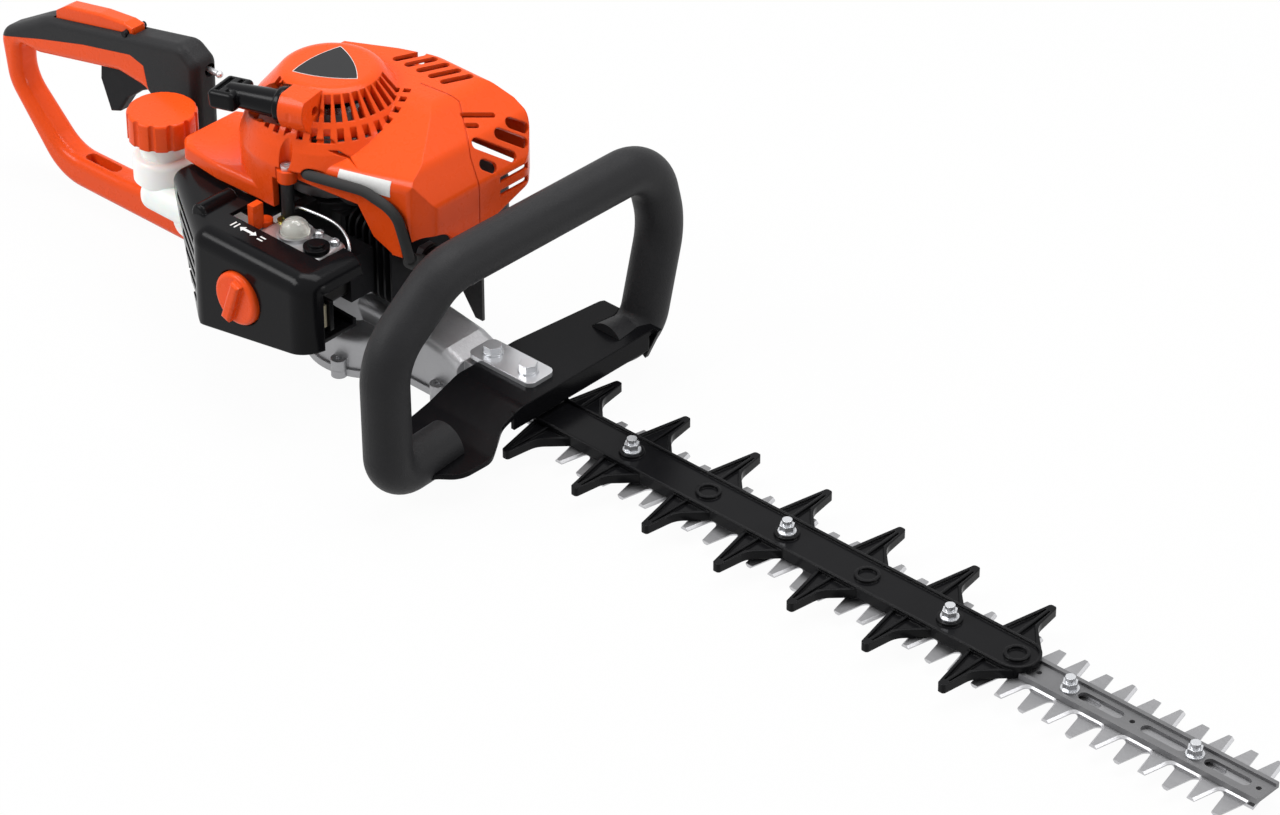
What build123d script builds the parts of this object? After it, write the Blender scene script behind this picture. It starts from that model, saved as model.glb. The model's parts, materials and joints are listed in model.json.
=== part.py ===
from build123d import *
from math import acos, cos, hypot, pi, radians, sin, tan
import os

# Petrol hedge trimmer: two reciprocating blades on a guide bar, driven by a small engine through a
# centrifugal clutch and a cam gear, with a D-shaped rear handle and a looped front handle.
# Frame: origin on the crankshaft axis, in the flat underside of the gear case. +X runs to the blade tip,
# +Y to the operator's left, +Z up. All sizes are millimetres.

# Fits
RUN = 0.05          # radial play of a shaft in its bearing
GAP = 0.4           # air between pieces that move past each other
SEAT = 0.3          # air where a moving piece rests on a fixed one
WALL = 2.5          # moulded plastic shells
CAST = 4.5          # cast aluminium walls

# Blades
TOOTH_PITCH = 33.0
TOOTH_REACH = 28.4  # centre line to tooth tip
TOOTH_TIP = 5.0
TOOTH_ROOT = 13.0
TOOTH_BEVEL = 1.3   # ground flank of a tooth
GULLET_R = 4.5
TEETH = 15          # on each side of each blade
FRONT_TOOTH_X = 672.0
BLADE_WIDTH = 21.0
BLADE_T = 2.0
BLADE_GAP = 0.1     # oil film between the blades
BLADE_OVERHANG = 24.0
BLADE_FLOAT = 0.9   # lower blade above the case cover's inner face
STROKE = TOOTH_PITCH / 2

# Guide bar and its bolts
BAR_WIDTH = 20.0
BAR_FLOOR = 2.0
BAR_RAIL = 1.7
BAR_RAIL_WIDTH = 2.6
BAR_TIP_X = 701.5
BAR_SLOT_LENGTH = 30.0
BAR_SLOT_WIDTH = 7.0
BAR_SLOT_STEP = 43.0
BAR_SLOT_FIRST_X = 589.0
BAR_SLOTS = 3
BAR_HOLE_R = 1.6
BAR_HOLE_X = (546.0, 610.5, 695.5)
BAR_BOLT_X = (567.5, 653.0)
GUARD_BOLT_X = (242.0, 362.0, 482.0)
BLADE_BOLT_R = 3.0
BLADE_COLLAR_R = 3.6
BOLT_HEAD_AF = 10.0
BOLT_HEAD_T = 3.0
NUT_AF = 8.0
NUT_T = 4.2
WASHER_R = 5.4
WASHER_T = 1.0
STUD_PROUD = 3.2

# Blade guard comb
GUARD_X0 = 176.0
GUARD_X1 = 530.0
GUARD_WIDTH = 28.0
GUARD_T = 4.0
GUARD_RIM = 1.6
GUARD_LIFT = 0.7    # underside of the comb above the upper blade
SPIKES = 7
SPIKE_PITCH = 55.0
SPIKE_FIRST_X = 186.6
SPIKE_REACH = 49.2
SPIKE_TIP = 4.6
SPIKE_REAR = 10.0
SPIKE_FRONT = 21.0
SPIKE_ELBOW = 14.0
SPIKE_SWEEP = 14.0
SPIKE_RIB = 1.8
SPIKE_RIB_RISE = 1.5
BOSS_R = 7.5
BOSS_X = (302.0, 422.0, 530.0)

# Cam gear and pinion
GEAR_MODULE = 1.0
PINION_TEETH = 12
GEAR_TEETH = 48
TOOTH_SHIFT = 0.35
PRESSURE = radians(20)
BACKLASH = 0.16
FLANK_STEPS = 3
GEAR_T = 7.0
CAM_SHAFT_R = 6.0
CAM_LAND = 0.75
CAM_SWING = 138.0   # cam turn for one blade stroke, degrees
YOKE_PLAY = 0.75
YOKE_WALL = 4.5
YOKE_CORNER = 12.0
GEAR_WEB_HOLES = 5
GEAR_WEB_HOLE_R = 4.0
GEAR_WEB_R = 15.5

# Gear case
COVER_T = 5.0
COVER_LIP = 3.0
CASE_ROUND = 7.0
CEILING_T = 8.0
BEARING_T = 6.0
CAM_BEARING_R = 10.0
DRUM_BEARING_R = 11.0
DRUM_SHAFT_R = 5.0
NECK_X = 118.0
NECK_WIDTH = 38.0
NECK_TOP = 41.0
NECK_SHOULDER_X = 66.0
NECK_ROUND = 7.0
TONGUE_X = 172.0
TONGUE_WIDTH = 24.0
TONGUE_TOP = 30.0
SCREW_R = 2.0
SCREW_HEAD_R = 3.6
SCREW_HEAD_T = 2.6
SCREW_DEPTH = 7.0

# Clutch
DRUM_R = 27.5
DRUM_T = 2.5
DRUM_H = 21.0
SHOE_R0 = 10.0
SHOE_GAP = 0.9      # shoe to drum
SHOE_SWEEP = 150.0
SHOE_H = 13.0
SPRING_WIRE_R = 1.2
BELL_H = 27.0
BELL_FLANGE_R = 37.0
BELL_FLANGE_T = 4.0

# Crank, piston and cylinder
THROW = 13.0
ROD_LENGTH = 44.0
ROD_T = 8.0
ROD_WIDTH = 7.0
ROD_RELIEF = 3.5    # notch in the cylinder's spigot where the big end swings past
BIG_END_R = 9.0
SMALL_END_R = 7.0
CRANK_PIN_R = 5.0
PISTON_PIN_R = 4.0
BORE_R = 16.1
PISTON_R = 16.0
PISTON_H = 19.0
CROWN_OVER_PIN = 10.0
CROWN_T = 2.5
WEB_T = 8.5
CRANK_SHAFT_R = 6.0
CRANK_BEARING_R = 13.0
CRANK_BEARING_T = 8.0
CRANK_FLOOR = 10.0
ROD_SIDE_GAP = 2.3
CYLINDER_WALL = 4.0
CYLINDER_FOOT_X = 30.0
HEAD_T = 6.5
HEAD_CLEAR = 0.8
FINS = 7
FIN_T = 1.6
FIN_SIDE = 54.0
FIN_CORNER = 9.0
PORT_R = 8.0

# Flywheel, starter and ignition
FLYWHEEL_R = 31.0
FLYWHEEL_T = 6.0
FLYWHEEL_LIFT = 2.0
FAN_BLADES = 14
FAN_H = 18.0
FAN_BLADE_T = 2.2
HUB_R = 12.0
PULLEY_R = 24.0
PULLEY_T = 8.0
ROPE_R = 1.5
POST_R = 5.0
SPRING_T = 6.0
SPRING_BAND = 0.6
SPRING_TURNS = 5
SPRING_STEP = 2.6
COIL_SIZE = (24.0, 30.0, 14.0)
LEAD_R = 3.2
LEAD_PATH = ((42, -15, 114), (42, -25, 114), (18, -37, 132), (26, -48, 137), (66, -39.5, 138.5),
             (87, -34.5, 130), (91, -28, 96))
LEAD_BEND = (6, 6, 6, 22, 16)
PLUG_THREAD_R = 5.0
PLUG_HEX_AF = 16.0
PLUG_HEX_T = 5.0
PLUG_STEM_R = 4.4
PLUG_LENGTH = 15.0
CAP_BODY_R = 9.5
CAP_LENGTH = 14.0
CAP_RIBS = 4

# Muffler box: X, Y and Z from and to
MUFFLER = (36.0, 86.0, 36.0, 64.0, 60.8, 116.0)
MUFFLER_ROUND = 6.0
MUFFLER_SKIN = 1.2
SHEET = 2.0
FIN_DROP = 40.0

# Engine cover: plan of the main body, its roof seen from the side and from the front
COVER_PLAN = ((-30, -30), (10, -49), (92, -29), (103, -18), (103, 60), (92, 73), (36, 70), (0, 56), (-30, 40))
COVER_PLAN_R = (0, 6, 8, 8, 10, 10, 10, 0, 0)
COVER_Z0 = 97.0
COVER_TOP = 168.0
FRONT_ROOF = ((103, 132), (90, 153), (64, 168))
FRONT_ROOF_R = (8, 14, 24)
NEAR_ROOF = ((-62, 134), (20, 168))
NEAR_ROOF_R = 30.0
BROW_R = 9.0         # round between the sloping roof and the near wall
BROW_SPAN = 200.0
FAR_ROOF = ((66, 168), (73, 158))
FAR_ROOF_R = (6, 6)
NEAR_HEM = ((14, 130), (58, 125), (68, 106), (80, 98))   # lower edge of the near wall
NEAR_HEM_X = 5.0
FAR_HEM = ((18, 100), (76, 120))   # lower edge of the front wall, rising to the far side
CREASE = ((39, 35), (68, 38), (94, 20), (106, 17))
CREASE_W = 0.9
CREASE_DEPTH = 0.5
DOME_TOP = 180.0
DOME_PROFILE = ((55, 112), (56, 138), (52, 149), (47, 158), (29, 180))
DOME_ROUND = (6, 8, 8, 10)
DOME_HEM_Z = 138.0  # lower edge of the dome over the carburettor
SHOULDER_PLAN = ((-82, -4), (-82, -46), (-74, -53), (-43, -56), (8, -54), (8, 0), (-40, 20))
SHOULDER_PLAN_R = (0, 6, 6, 12, 0, 0, 0)
SHOULDER_Z = (109.0, 119.0)
SHOULDER_EDGE = 3.5
SCOOP_R = 110.0
SCOOP_AT = (-52.0, -26.0)
SCOOP_DEPTH = 4.0
SLOTS = 16          # cooling slots round the dome
SLOT_START = -118.0
SLOT_STEP = 10.0    # degrees
SLOT_WIDTH = 4.0
SLOT_UPPER = (30.5, 41.0)
SLOT_LOWER = (43.5, 48.0)
DOME_WINDOWS = (    # small windows under the slots: direction in degrees, outline along the wall and in Z
    (-51.0, ((-7.6, 155.2), (-5.0, 157.2), (5.5, 157.4), (8.0, 155.1))),
    (-38.0, ((-8.3, 151.8), (-2.0, 151.5), (8.2, 145.4), (-1.5, 148.6))),
)
LOUVRE_W = 5.4
LOUVRES = 5
LOUVRE_STEP = 9.9
ROOF_SLOT_AT = (11.5, 53.5)
ROOF_SLOT_LENGTH = 21.0
ROOF_SLOT_TURN = 66.0
FRONT_SLOTS = ((99, 30, 138, 13), (96, 39, 144, 33), (95, 54, 145, 25), (92, 62, 149, 17))
FRONT_SLOT_W = 7.0
FRONT_SLOT_REACH = 7.0
FRONT_SLOT_RUN = (0.34, 0.769, -0.545)
FRONT_SLOT_OUT = (0.848, 0.0, 0.53)
BROW_SLOTS = ((79, 42.5, 22), (82.5, 34, 9))             # thin slots above them: X, Y, length
BROW_SLOT_W = 3.2
BROW_REACH = 24.0
FRONT_BARS_Z = (116.0, 125.0)
FRONT_BAR_H = 4.2
FRONT_BARS_Y = (36.0, 60.0)
COVER_SCREWS = ((13.0, -51.0, 137.0, 6.0), (108.0, 0.0, 102.0, -1.0))   # head seat, shank below the lug
COVER_POST_R = 4.0
BULKHEAD = (-25.5, -22.5, -48.0, -20.0, -25.0, 108.0)   # wall to the tank: X, Y, Y above the case, top
LUG_H = 8.0
LUG_R = 6.0
CAP_ARCH = (-18.0, 98.0, 15.0)     # opening in the front wall for the plug cap: Y, Z, radius
BOSS_DEPTH = 18.0

# Starter grip, lying along its pull line
GRIP_ROOT = (2.0, -36.0, 168.5)
GRIP_PULL = (-0.975, -0.193, -0.106)
GRIP_LENGTH = 52.0
GRIP_COLLAR_R = 11.5
GRIP_COLLAR_T = 6.0
GRIP_NECK_R = 7.0
GRIP_END = (24.0, 12.0, 19.0)
BOSS_WALL = 1.6

# Air cleaner and carburettor
AIR_PLAN = ((80, -101), (-15, -101), (-78, -60), (-78, -50), (80, -56))
AIR_PLAN_R = (16, 14, 3, 0, 0)
AIR_OPEN = ((77, -90), (-10, -90), (-50, -64), (-50, -40), (77, -40))   # side that faces the engine
AIR_Z0 = 40.0
AIR_Z1 = 106.0
AIR_TAIL_Z = 92.0   # underside of the rear corner
RIDGE_X = -28.0
RIDGE_Y = (-86.0, -58.0)
RIDGE_R = 6.0
AIR_ROUND = 11.0
AIR_ROUND_IN = 6.5
AIR_BELLY = 17.0    # how far the underside rises to the front
NOTCH = (-12.0, 64.0, -75.0, 86.0)
AIR_MOUTH = (-88.0, 55.0, 95.0)   # opening in the front wall: Y from, Z from and to
FILTER_T = 12.0
CASE_PLATE_T = 3.0
CASE_PLATE_Y = -78.0
CARB_X = (10.0, 60.0)
CARB_Y = (-74.0, -50.0)
CARB_Z = (68.0, 104.0)
BULB_AT = (30.0, -62.0)
BULB_R = 9.0
BULB_RIM_R = 11.2
BULB_RIM_T = 2.0
BULB_SET = 2.0      # depth of the bulb's foot in its well
BULB_TRAVEL = 5.0
CHOKE_AT = (4.0, -62.0)
CHOKE_SIZE = (5.0, 7.0, 17.0)
THROTTLE_AT = (52.0, -66.0)
THROTTLE_R = 8.0
KNOB_AT = (21.0, 74.0)
KNOB_R = 17.0
KNOB_T = 8.0
KNOB_BAR = 7.0
KNOB_SOCKET = 7.0
KNOB_STEM_R = 3.0
KNOB_STEM_TAIL = 3.0
KNOB_TILT = 20.0
SHAFT_R = 2.0
AIR_SLOTS = 6
AIR_SLOT_STEP = 8.0
AIR_SLOT_LENGTH = 56.0
AIR_SLOT_FACE = Pos(-20, -97.7, 0) * Rot(0, 0, -33)

# Fuel tank
TANK_X = (-118.0, -62.0)
TANK_Y = (-57.0, -15.0)
TANK_Z = (57.0, 77.0)
TANK_REAR_Y = 40.0
TANK_REAR_X = -109.0
TANK_LAP = 20.0     # how far the deep rear half reaches under the near one
TANK_ROUND = 9.0
NECK_AT = (-111.0, -37.0)
FILLER_R = 14.5
FILLER_H = 40.0
NECK_STEP_R = 19.5
NECK_STEP_H = 15.0
FILLER_WALL = 2.5
CAP_R = 21.7
CAP_H = 18.0
CAP_WALL = 3.0
CAP_FLUTES = 12
CAP_FLUTE_R = 2.4
GASKET_T = 1.6

# Rear handle, side view (X, Z)
HANDLE_OUTER = ((-295, 94), (-250, 120), (-124, 148), (-110, 139), (-112, 5), (-246, 4), (-290, 58))
HANDLE_OUTER_R = (12, 60, 12, 8, 8, 40, 30)
HANDLE_INNER = ((-279, 62), (-278, 90), (-258, 90), (-182, 107), (-150, 104), (-149, 30), (-190, 26),
                (-240, 25))
HANDLE_INNER_R = (24, 6, 20, 14, 14, 10, 30, 30)
GRIP_SPLIT = ((-330, 84), (-291, 91), (-254, 103), (-213, 115), (-169, 125), (-157, 122), (-153, 103),
              (-150, 62), (-90, 62), (-90, 190), (-330, 190))
HANDLE_WIDTH = 20.0
HANDLE_EDGE = 6.0
ARM_SLOT_X = -212.0
ARM_SLOT_LENGTH = 30.0
ARM_SLOT_WIDTH = 8.0
FOOT_X = -36.0
FOOT_Z = (10.0, 34.0)
TRIGGER = ((-204, 102), (-205, 92), (-197, 71), (-189, 74), (-180, 87), (-168, 97), (-158, 102), (-158, 116),
           (-172, 116))
TRIGGER_PIVOT = (-164.0, 110.0)
TRIGGER_WIDTH = 9.0
LOCKOUT = ((-242, 113), (-241, 127), (-232, 133), (-201, 139.5), (-178, 142), (-170, 141), (-170, 133),
           (-184, 127))
LOCKOUT_PIVOT = (-175.0, 136.5)
LOCKOUT_WIDTH = 11.0
PIVOT_R = 2.0
PIN_SEAT = 3.0
SWITCH_AT = (3.0, 132.0)
SWITCH_SIZE = (16.0, 10.0, 14.0)
TOGGLE_R = 1.8
TOGGLE_LENGTH = 13.0
TOGGLE_PIVOT = 3.0  # depth of its pin behind the switch face
TOGGLE_PIN_R = 1.2
TOGGLE_PIN = 9.0

# Front handle, shield and bracket
LOOP_X = 162.0
LOOP_PATH = ((-72, 22), (-119, 20), (-120, 104), (-72, 139), (100, 137), (112, 90), (94, 20), (62, 24))
LOOP_PATH_R = (16, 38, 40, 30, 60, 18)
LOOP_R = 14.5
SHIELD_EDGE = ((-106, 12), (-96, 16), (-66, 19), (-52, 22), (-28, 30), (89, 30))   # underside, Y and Z
SHIELD_EDGE_R = (0, 6, 30, 20, 20, 0)
SHIELD_PLAN = ((128, -106), (164, -106), (190, -88), (193, -66), (180, -44), (180, 92), (136, 92), (128, 20))
SHIELD_PLAN_R = (14, 20, 16, 14, 14, 4, 8, 20)
APRON_Y = (-34.0, 82.0)
APRON_T = 2.6
APRON_H = 10.0
SHIELD_TAIL = ((174, 33), (184, 33), (173, 9), (168, 13))   # fin at the far end, X and Z
SHIELD_T = 3.0
BRACKET_X = (119.0, 171.0)
BRACKET_WIDTH = 22.0
BRACKET_T = 3.0
HANDLE_BOLT_X = (130.0, 159.0)
HANDLE_BOLT_R = 3.0

# Levels and places that follow from the sizes above
LOWER_Z = COVER_T + BLADE_FLOAT
UPPER_Z = LOWER_Z + BLADE_T + BLADE_GAP
BLADE_TOP = UPPER_Z + BLADE_T
BAR_Z = BLADE_TOP + BLADE_GAP
BAR_TOP = BAR_Z + BAR_FLOOR
RAIL_TOP = BAR_TOP + BAR_RAIL
GUARD_Z = RAIL_TOP
GUARD_TOP = GUARD_Z + GUARD_T
CAM_X = GEAR_MODULE * (PINION_TEETH + GEAR_TEETH) / 2
ECCENTRIC = STROKE / 2
CAM_R = CAM_SHAFT_R + ECCENTRIC + CAM_LAND
CAM_REST = 90.0 - CAM_SWING / 2
YOKE_HALF_X = CAM_R + YOKE_PLAY + YOKE_WALL
YOKE_HALF_Y = CAM_R + ECCENTRIC + YOKE_PLAY + YOKE_WALL
CHAMBER_R = hypot(YOKE_HALF_X - YOKE_CORNER + ECCENTRIC, YOKE_HALF_Y - YOKE_CORNER) + YOKE_CORNER + 1.5
CASE_R = CHAMBER_R + CAST
GEAR_Z = BLADE_TOP + 1.0
GEAR_TOP = GEAR_Z + GEAR_T
CHAMBER_TOP = GEAR_TOP + 1.5
CEILING_Z = CHAMBER_TOP + CEILING_T
DRUM_Z = CEILING_Z + 1.5
DRUM_TOP = DRUM_Z + DRUM_H
BELL_TOP = CEILING_Z + BELL_H
BELL_R = DRUM_R + 2.0 + 3.5
CRANK_ROOM_Z = BELL_TOP + CRANK_FLOOR
CYLINDER_Z = CRANK_ROOM_Z + 0.5 + WEB_T + ROD_SIDE_GAP + ROD_T / 2
CRANK_ROOM_TOP = 2 * CYLINDER_Z - CRANK_ROOM_Z
CRANKCASE_TOP = 2 * CYLINDER_Z - BELL_TOP
ROOM_R = hypot(THROW, THROW) + BIG_END_R + 1.5
CRANKCASE_R = ROOM_R + CAST
TDC_PIN_X = THROW + ROD_LENGTH
CROWN_X = TDC_PIN_X + CROWN_OVER_PIN
HEAD_X = CROWN_X + HEAD_CLEAR + HEAD_T
FLYWHEEL_Z = CRANKCASE_TOP + FLYWHEEL_LIFT
FAN_TOP = FLYWHEEL_Z + FLYWHEEL_T + FAN_H
PULLEY_Z = GRIP_ROOT[2] - PULLEY_T / 2
PULLEY_TOP = PULLEY_Z + PULLEY_T
SPRING_Z = PULLEY_Z - 1.5 - SPRING_T
FILLER_TOP = TANK_Z[1] + FILLER_H
CAP_TOP = FILLER_TOP + GASKET_T + CAP_WALL
SHIELD_Z = TONGUE_TOP
BRACKET_Z = SHIELD_Z + SHIELD_T
BOLT_X = GUARD_BOLT_X + BAR_BOLT_X


# Building blocks
def block(x0, x1, y0, y1, z0, z1):
    return Pos((x0 + x1) / 2, (y0 + y1) / 2, (z0 + z1) / 2) * Box(x1 - x0, y1 - y0, z1 - z0)


def disc(x, y, z0, z1, r):
    return Pos(x, y, (z0 + z1) / 2) * Cylinder(r, z1 - z0)


def ring(x, y, z0, z1, r_in, r_out):
    return disc(x, y, z0, z1, r_out) - disc(x, y, z0, z1, r_in)


def bar_x(x0, x1, y, z, r):
    return Pos((x0 + x1) / 2, y, z) * Rot(0, 90, 0) * Cylinder(r, x1 - x0)


def bar_y(x, y0, y1, z, r):
    return Pos(x, (y0 + y1) / 2, z) * Rot(90, 0, 0) * Cylinder(r, y1 - y0)


def plan(points, z0, z1, radius=0):
    """Outline seen from above, raised from z0 to z1."""
    wire = FilletPolyline(*points, radius=radius, close=True)
    return extrude(Plane.XY.offset(z0) * make_face(wire), z1 - z0)


def side(points, y0, y1, radius=0):
    """Outline seen from the side (X, Z), spread from y0 to y1."""
    wire = FilletPolyline(*points, radius=radius, close=True)
    plane = Plane(origin=(0, y1, 0), x_dir=(1, 0, 0), z_dir=(0, -1, 0))
    return extrude(plane * make_face(wire), y1 - y0)


def front(points, x0, x1, radius=0):
    """Outline seen from the front (Y, Z), spread from x0 to x1."""
    wire = FilletPolyline(*points, radius=radius, close=True)
    plane = Plane(origin=(x0, 0, 0), x_dir=(0, 1, 0), z_dir=(1, 0, 0))
    return extrude(plane * make_face(wire), x1 - x0)


def hexagon(x, y, z0, z1, across_flats):
    sketch = Pos(x, y, z0) * RegularPolygon(across_flats / 2, 6, major_radius=False)
    return extrude(sketch, z1 - z0)


def group(solids):
    return Compound(children=[s for piece in solids for s in piece.solids()])


def involute_wheel(teeth, shift):
    """Outline of an involute wheel with the middle of a tooth on +X."""
    pitch_r = teeth * GEAR_MODULE / 2
    base_r = pitch_r * cos(PRESSURE)
    tip_r = pitch_r + (1 + shift) * GEAR_MODULE
    root_r = pitch_r - (1.25 - shift) * GEAR_MODULE
    half = pi / (2 * teeth) + 2 * shift * tan(PRESSURE) / teeth - BACKLASH / (2 * pitch_r)
    half += tan(PRESSURE) - PRESSURE
    start_r = max(base_r, root_r)
    flank = []
    for step in range(FLANK_STEPS + 1):
        r = start_r + (tip_r - start_r) * step / FLANK_STEPS
        angle = acos(min(1, base_r / r))
        flank.append((r, half - tan(angle) + angle))
    flank.insert(0, (min(root_r, start_r - 0.05), flank[0][1]))
    points = []
    for tooth in range(teeth):
        mid = 2 * pi * tooth / teeth
        points += [(r * cos(mid - a), r * sin(mid - a)) for r, a in flank]
        points += [(r * cos(mid + a), r * sin(mid + a)) for r, a in reversed(flank)]
    return make_face(Polyline(*points, close=True))


# Blades, guide bar and comb
def blade(z0, near, travel):
    """One blade: near is the side (-1 or 1) that carries the rearmost row of teeth, travel its stroke."""
    rear_x = CAM_X + near * -ECCENTRIC
    end_x = FRONT_TOOTH_X + BLADE_OVERHANG
    half = BLADE_WIDTH / 2

    def row(lead):
        points = []
        for n in range(TEETH):
            x = FRONT_TOOTH_X + lead - (TEETH - 1 - n) * TOOTH_PITCH
            points += [(x - TOOTH_ROOT / 2, half), (x - TOOTH_TIP / 2, TOOTH_REACH)]
            points += [(x + TOOTH_TIP / 2, TOOTH_REACH), (x + TOOTH_ROOT / 2, half)]
        return points

    start = [(rear_x, half)]
    near_row = [(x, near * y) for x, y in start + row(0) + [(end_x, half)]]
    far_row = [(x, -near * y) for x, y in start + row(STROKE) + [(end_x + STROKE / 4, half)]]
    outline = near_row + far_row[::-1]
    face = make_face(Polyline(*outline, close=True))
    roots = [v for v in face.vertices() if abs(abs(v.Y) - half) < 0.01 and rear_x + 1 < v.X < end_x - 1]
    face = fillet(roots, GULLET_R)
    body = extrude(Plane.XY.offset(z0) * face, BLADE_T)
    ground_z = z0 + BLADE_T if near < 0 else z0
    edges = [e for e in body.edges() if abs(e.center().Z - ground_z) < 0.01 and e.length > GULLET_R]
    flanks = [e for e in edges if half + 1 < abs(e.center().Y) < TOOTH_REACH - 1]
    flanks = [e for e in flanks if abs(e.tangent_at(0.5).Y) > 0.5]
    body = chamfer(flanks, TOOTH_BEVEL)
    yoke = RectangleRounded(2 * YOKE_HALF_X, 2 * YOKE_HALF_Y, YOKE_CORNER)
    body += extrude(Pos(rear_x, 0, z0) * yoke, BLADE_T)
    window_x = 2 * (CAM_R + YOKE_PLAY)
    window_y = 2 * (CAM_R + YOKE_PLAY + ECCENTRIC)
    body -= extrude(Pos(rear_x, 0, z0) * Rot(0, 0, 90) * SlotOverall(window_y, window_x), BLADE_T)
    slot_width = 2 * (BLADE_COLLAR_R + GAP)
    for x in BOLT_X:
        slot = SlotOverall(STROKE + slot_width, slot_width)
        body -= extrude(Pos(x - travel / 2, 0, z0) * slot, BLADE_T)
    return body


def upper_blade():
    return blade(UPPER_Z, -1, -STROKE)


def lower_blade():
    return blade(LOWER_Z, 1, STROKE)


def guide_bar():
    half = BAR_WIDTH / 2
    rear_x = NECK_SHOULDER_X + 20
    bar = block(rear_x, BAR_TIP_X, -half, half, BAR_Z, RAIL_TOP)
    bar -= block(NECK_X, BAR_TIP_X, -half + BAR_RAIL_WIDTH, half - BAR_RAIL_WIDTH, BAR_TOP, RAIL_TOP)
    for n in range(BAR_SLOTS):
        x = BAR_SLOT_FIRST_X + n * BAR_SLOT_STEP
        slot = SlotOverall(BAR_SLOT_LENGTH, BAR_SLOT_WIDTH)
        bar -= extrude(Pos(x, 0, BAR_Z) * slot, BAR_FLOOR)
    for x in BOLT_X:
        bar -= disc(x, 0, BAR_Z, RAIL_TOP, BLADE_BOLT_R)
    for x in HANDLE_BOLT_X:
        bar -= disc(x, 0, BAR_Z, RAIL_TOP, HANDLE_BOLT_R)
    for x in BAR_HOLE_X:
        bar -= disc(x, 0, BAR_Z, BAR_TOP, BAR_HOLE_R)
    return bar


def comb_spike(x, way, foot, low):
    """One spike: rounded tip, swept front root, and two pockets that leave a rim and a middle rib."""
    elbow_x, elbow_y = x + SPIKE_TIP / 2 + 3, GUARD_WIDTH / 2 + SPIKE_ELBOW
    outline = ((x - SPIKE_REAR, way * foot), (x - SPIKE_TIP / 2, way * SPIKE_REACH),
               (x + SPIKE_TIP / 2, way * SPIKE_REACH), (elbow_x, way * elbow_y),
                (x + SPIKE_FRONT, way * foot))
    top = low + GUARD_T + SPIKE_RIB_RISE
    spike = plan(outline, low, top, (0, SPIKE_TIP * 0.4, SPIKE_TIP * 0.4, SPIKE_SWEEP, 0))
    rib = SPIKE_RIB / 2
    near, far = foot + SPIKE_RIB, SPIKE_REACH - 3 * SPIKE_RIB
    rear = ((x - SPIKE_REAR + 1.3 * SPIKE_RIB, way * near), (x + 1 - rib, way * near), (x - rib, way * far),
            (x - rib - 1, way * far))
    front_side = ((x + 1 + rib, way * near), (x + SPIKE_FRONT - 3 * SPIKE_RIB, way * near),
                  (elbow_x - SPIKE_RIB, way * elbow_y), (x + rib + 1, way * far), (x + rib, way * far))
    for pocket in (rear, front_side):
        spike -= plan(pocket, top - SPIKE_RIB, top)
    return spike


def blade_guard():
    half = GUARD_WIDTH / 2
    low = BLADE_TOP + GUARD_LIFT
    comb = block(GUARD_X0, GUARD_X1, -half, half, low, GUARD_TOP)
    comb += disc(GUARD_X1, 0, low, GUARD_TOP, half)
    inner = half - GUARD_RIM
    for n in range(SPIKES):
        x = SPIKE_FIRST_X + n * SPIKE_PITCH
        for way in (-1, 1):
            comb += comb_spike(x, way, inner, low)
    comb -= block(GUARD_X0, GUARD_X1 + half + 1, -BAR_WIDTH / 2 - SEAT, BAR_WIDTH / 2 + SEAT, low, GUARD_Z)
    comb -= block(GUARD_X0, GUARD_X1, -inner, inner, GUARD_TOP - GUARD_RIM, GUARD_TOP)
    comb -= disc(GUARD_X1, 0, GUARD_TOP - GUARD_RIM, GUARD_TOP, inner)
    floor = GUARD_TOP - GUARD_RIM
    for x in GUARD_BOLT_X:
        comb += disc(x, 0, GUARD_Z, GUARD_TOP, BOSS_R)
    for x in BOSS_X:
        comb += ring(x, 0, floor, GUARD_TOP, BOSS_R - 2, BOSS_R)
    for x in GUARD_BOLT_X:
        comb -= disc(x, 0, GUARD_Z, GUARD_TOP, BLADE_BOLT_R)
    return comb


def blade_bolt(x, seat_z):
    """Bolt from below with its collar through the blades, and its washer, nut and proud end on top."""
    head_z = LOWER_Z - SEAT
    bolt = hexagon(x, 0, head_z - BOLT_HEAD_T, head_z, BOLT_HEAD_AF)
    bolt += disc(x, 0, head_z, BAR_Z, BLADE_COLLAR_R)
    bolt += disc(x, 0, BAR_Z, seat_z + WASHER_T + NUT_T + STUD_PROUD, BLADE_BOLT_R - RUN)
    nut = disc(x, 0, seat_z, seat_z + WASHER_T, WASHER_R)
    nut += hexagon(x, 0, seat_z + WASHER_T, seat_z + WASHER_T + NUT_T, NUT_AF)
    nut -= disc(x, 0, seat_z, seat_z + WASHER_T + NUT_T, BLADE_BOLT_R)
    return [bolt, nut]


def guard_bolts():
    return group([piece for x in GUARD_BOLT_X for piece in blade_bolt(x, GUARD_TOP)])


def bar_bolts():
    return group([piece for x in BAR_BOLT_X for piece in blade_bolt(x, BAR_TOP)])


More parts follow.
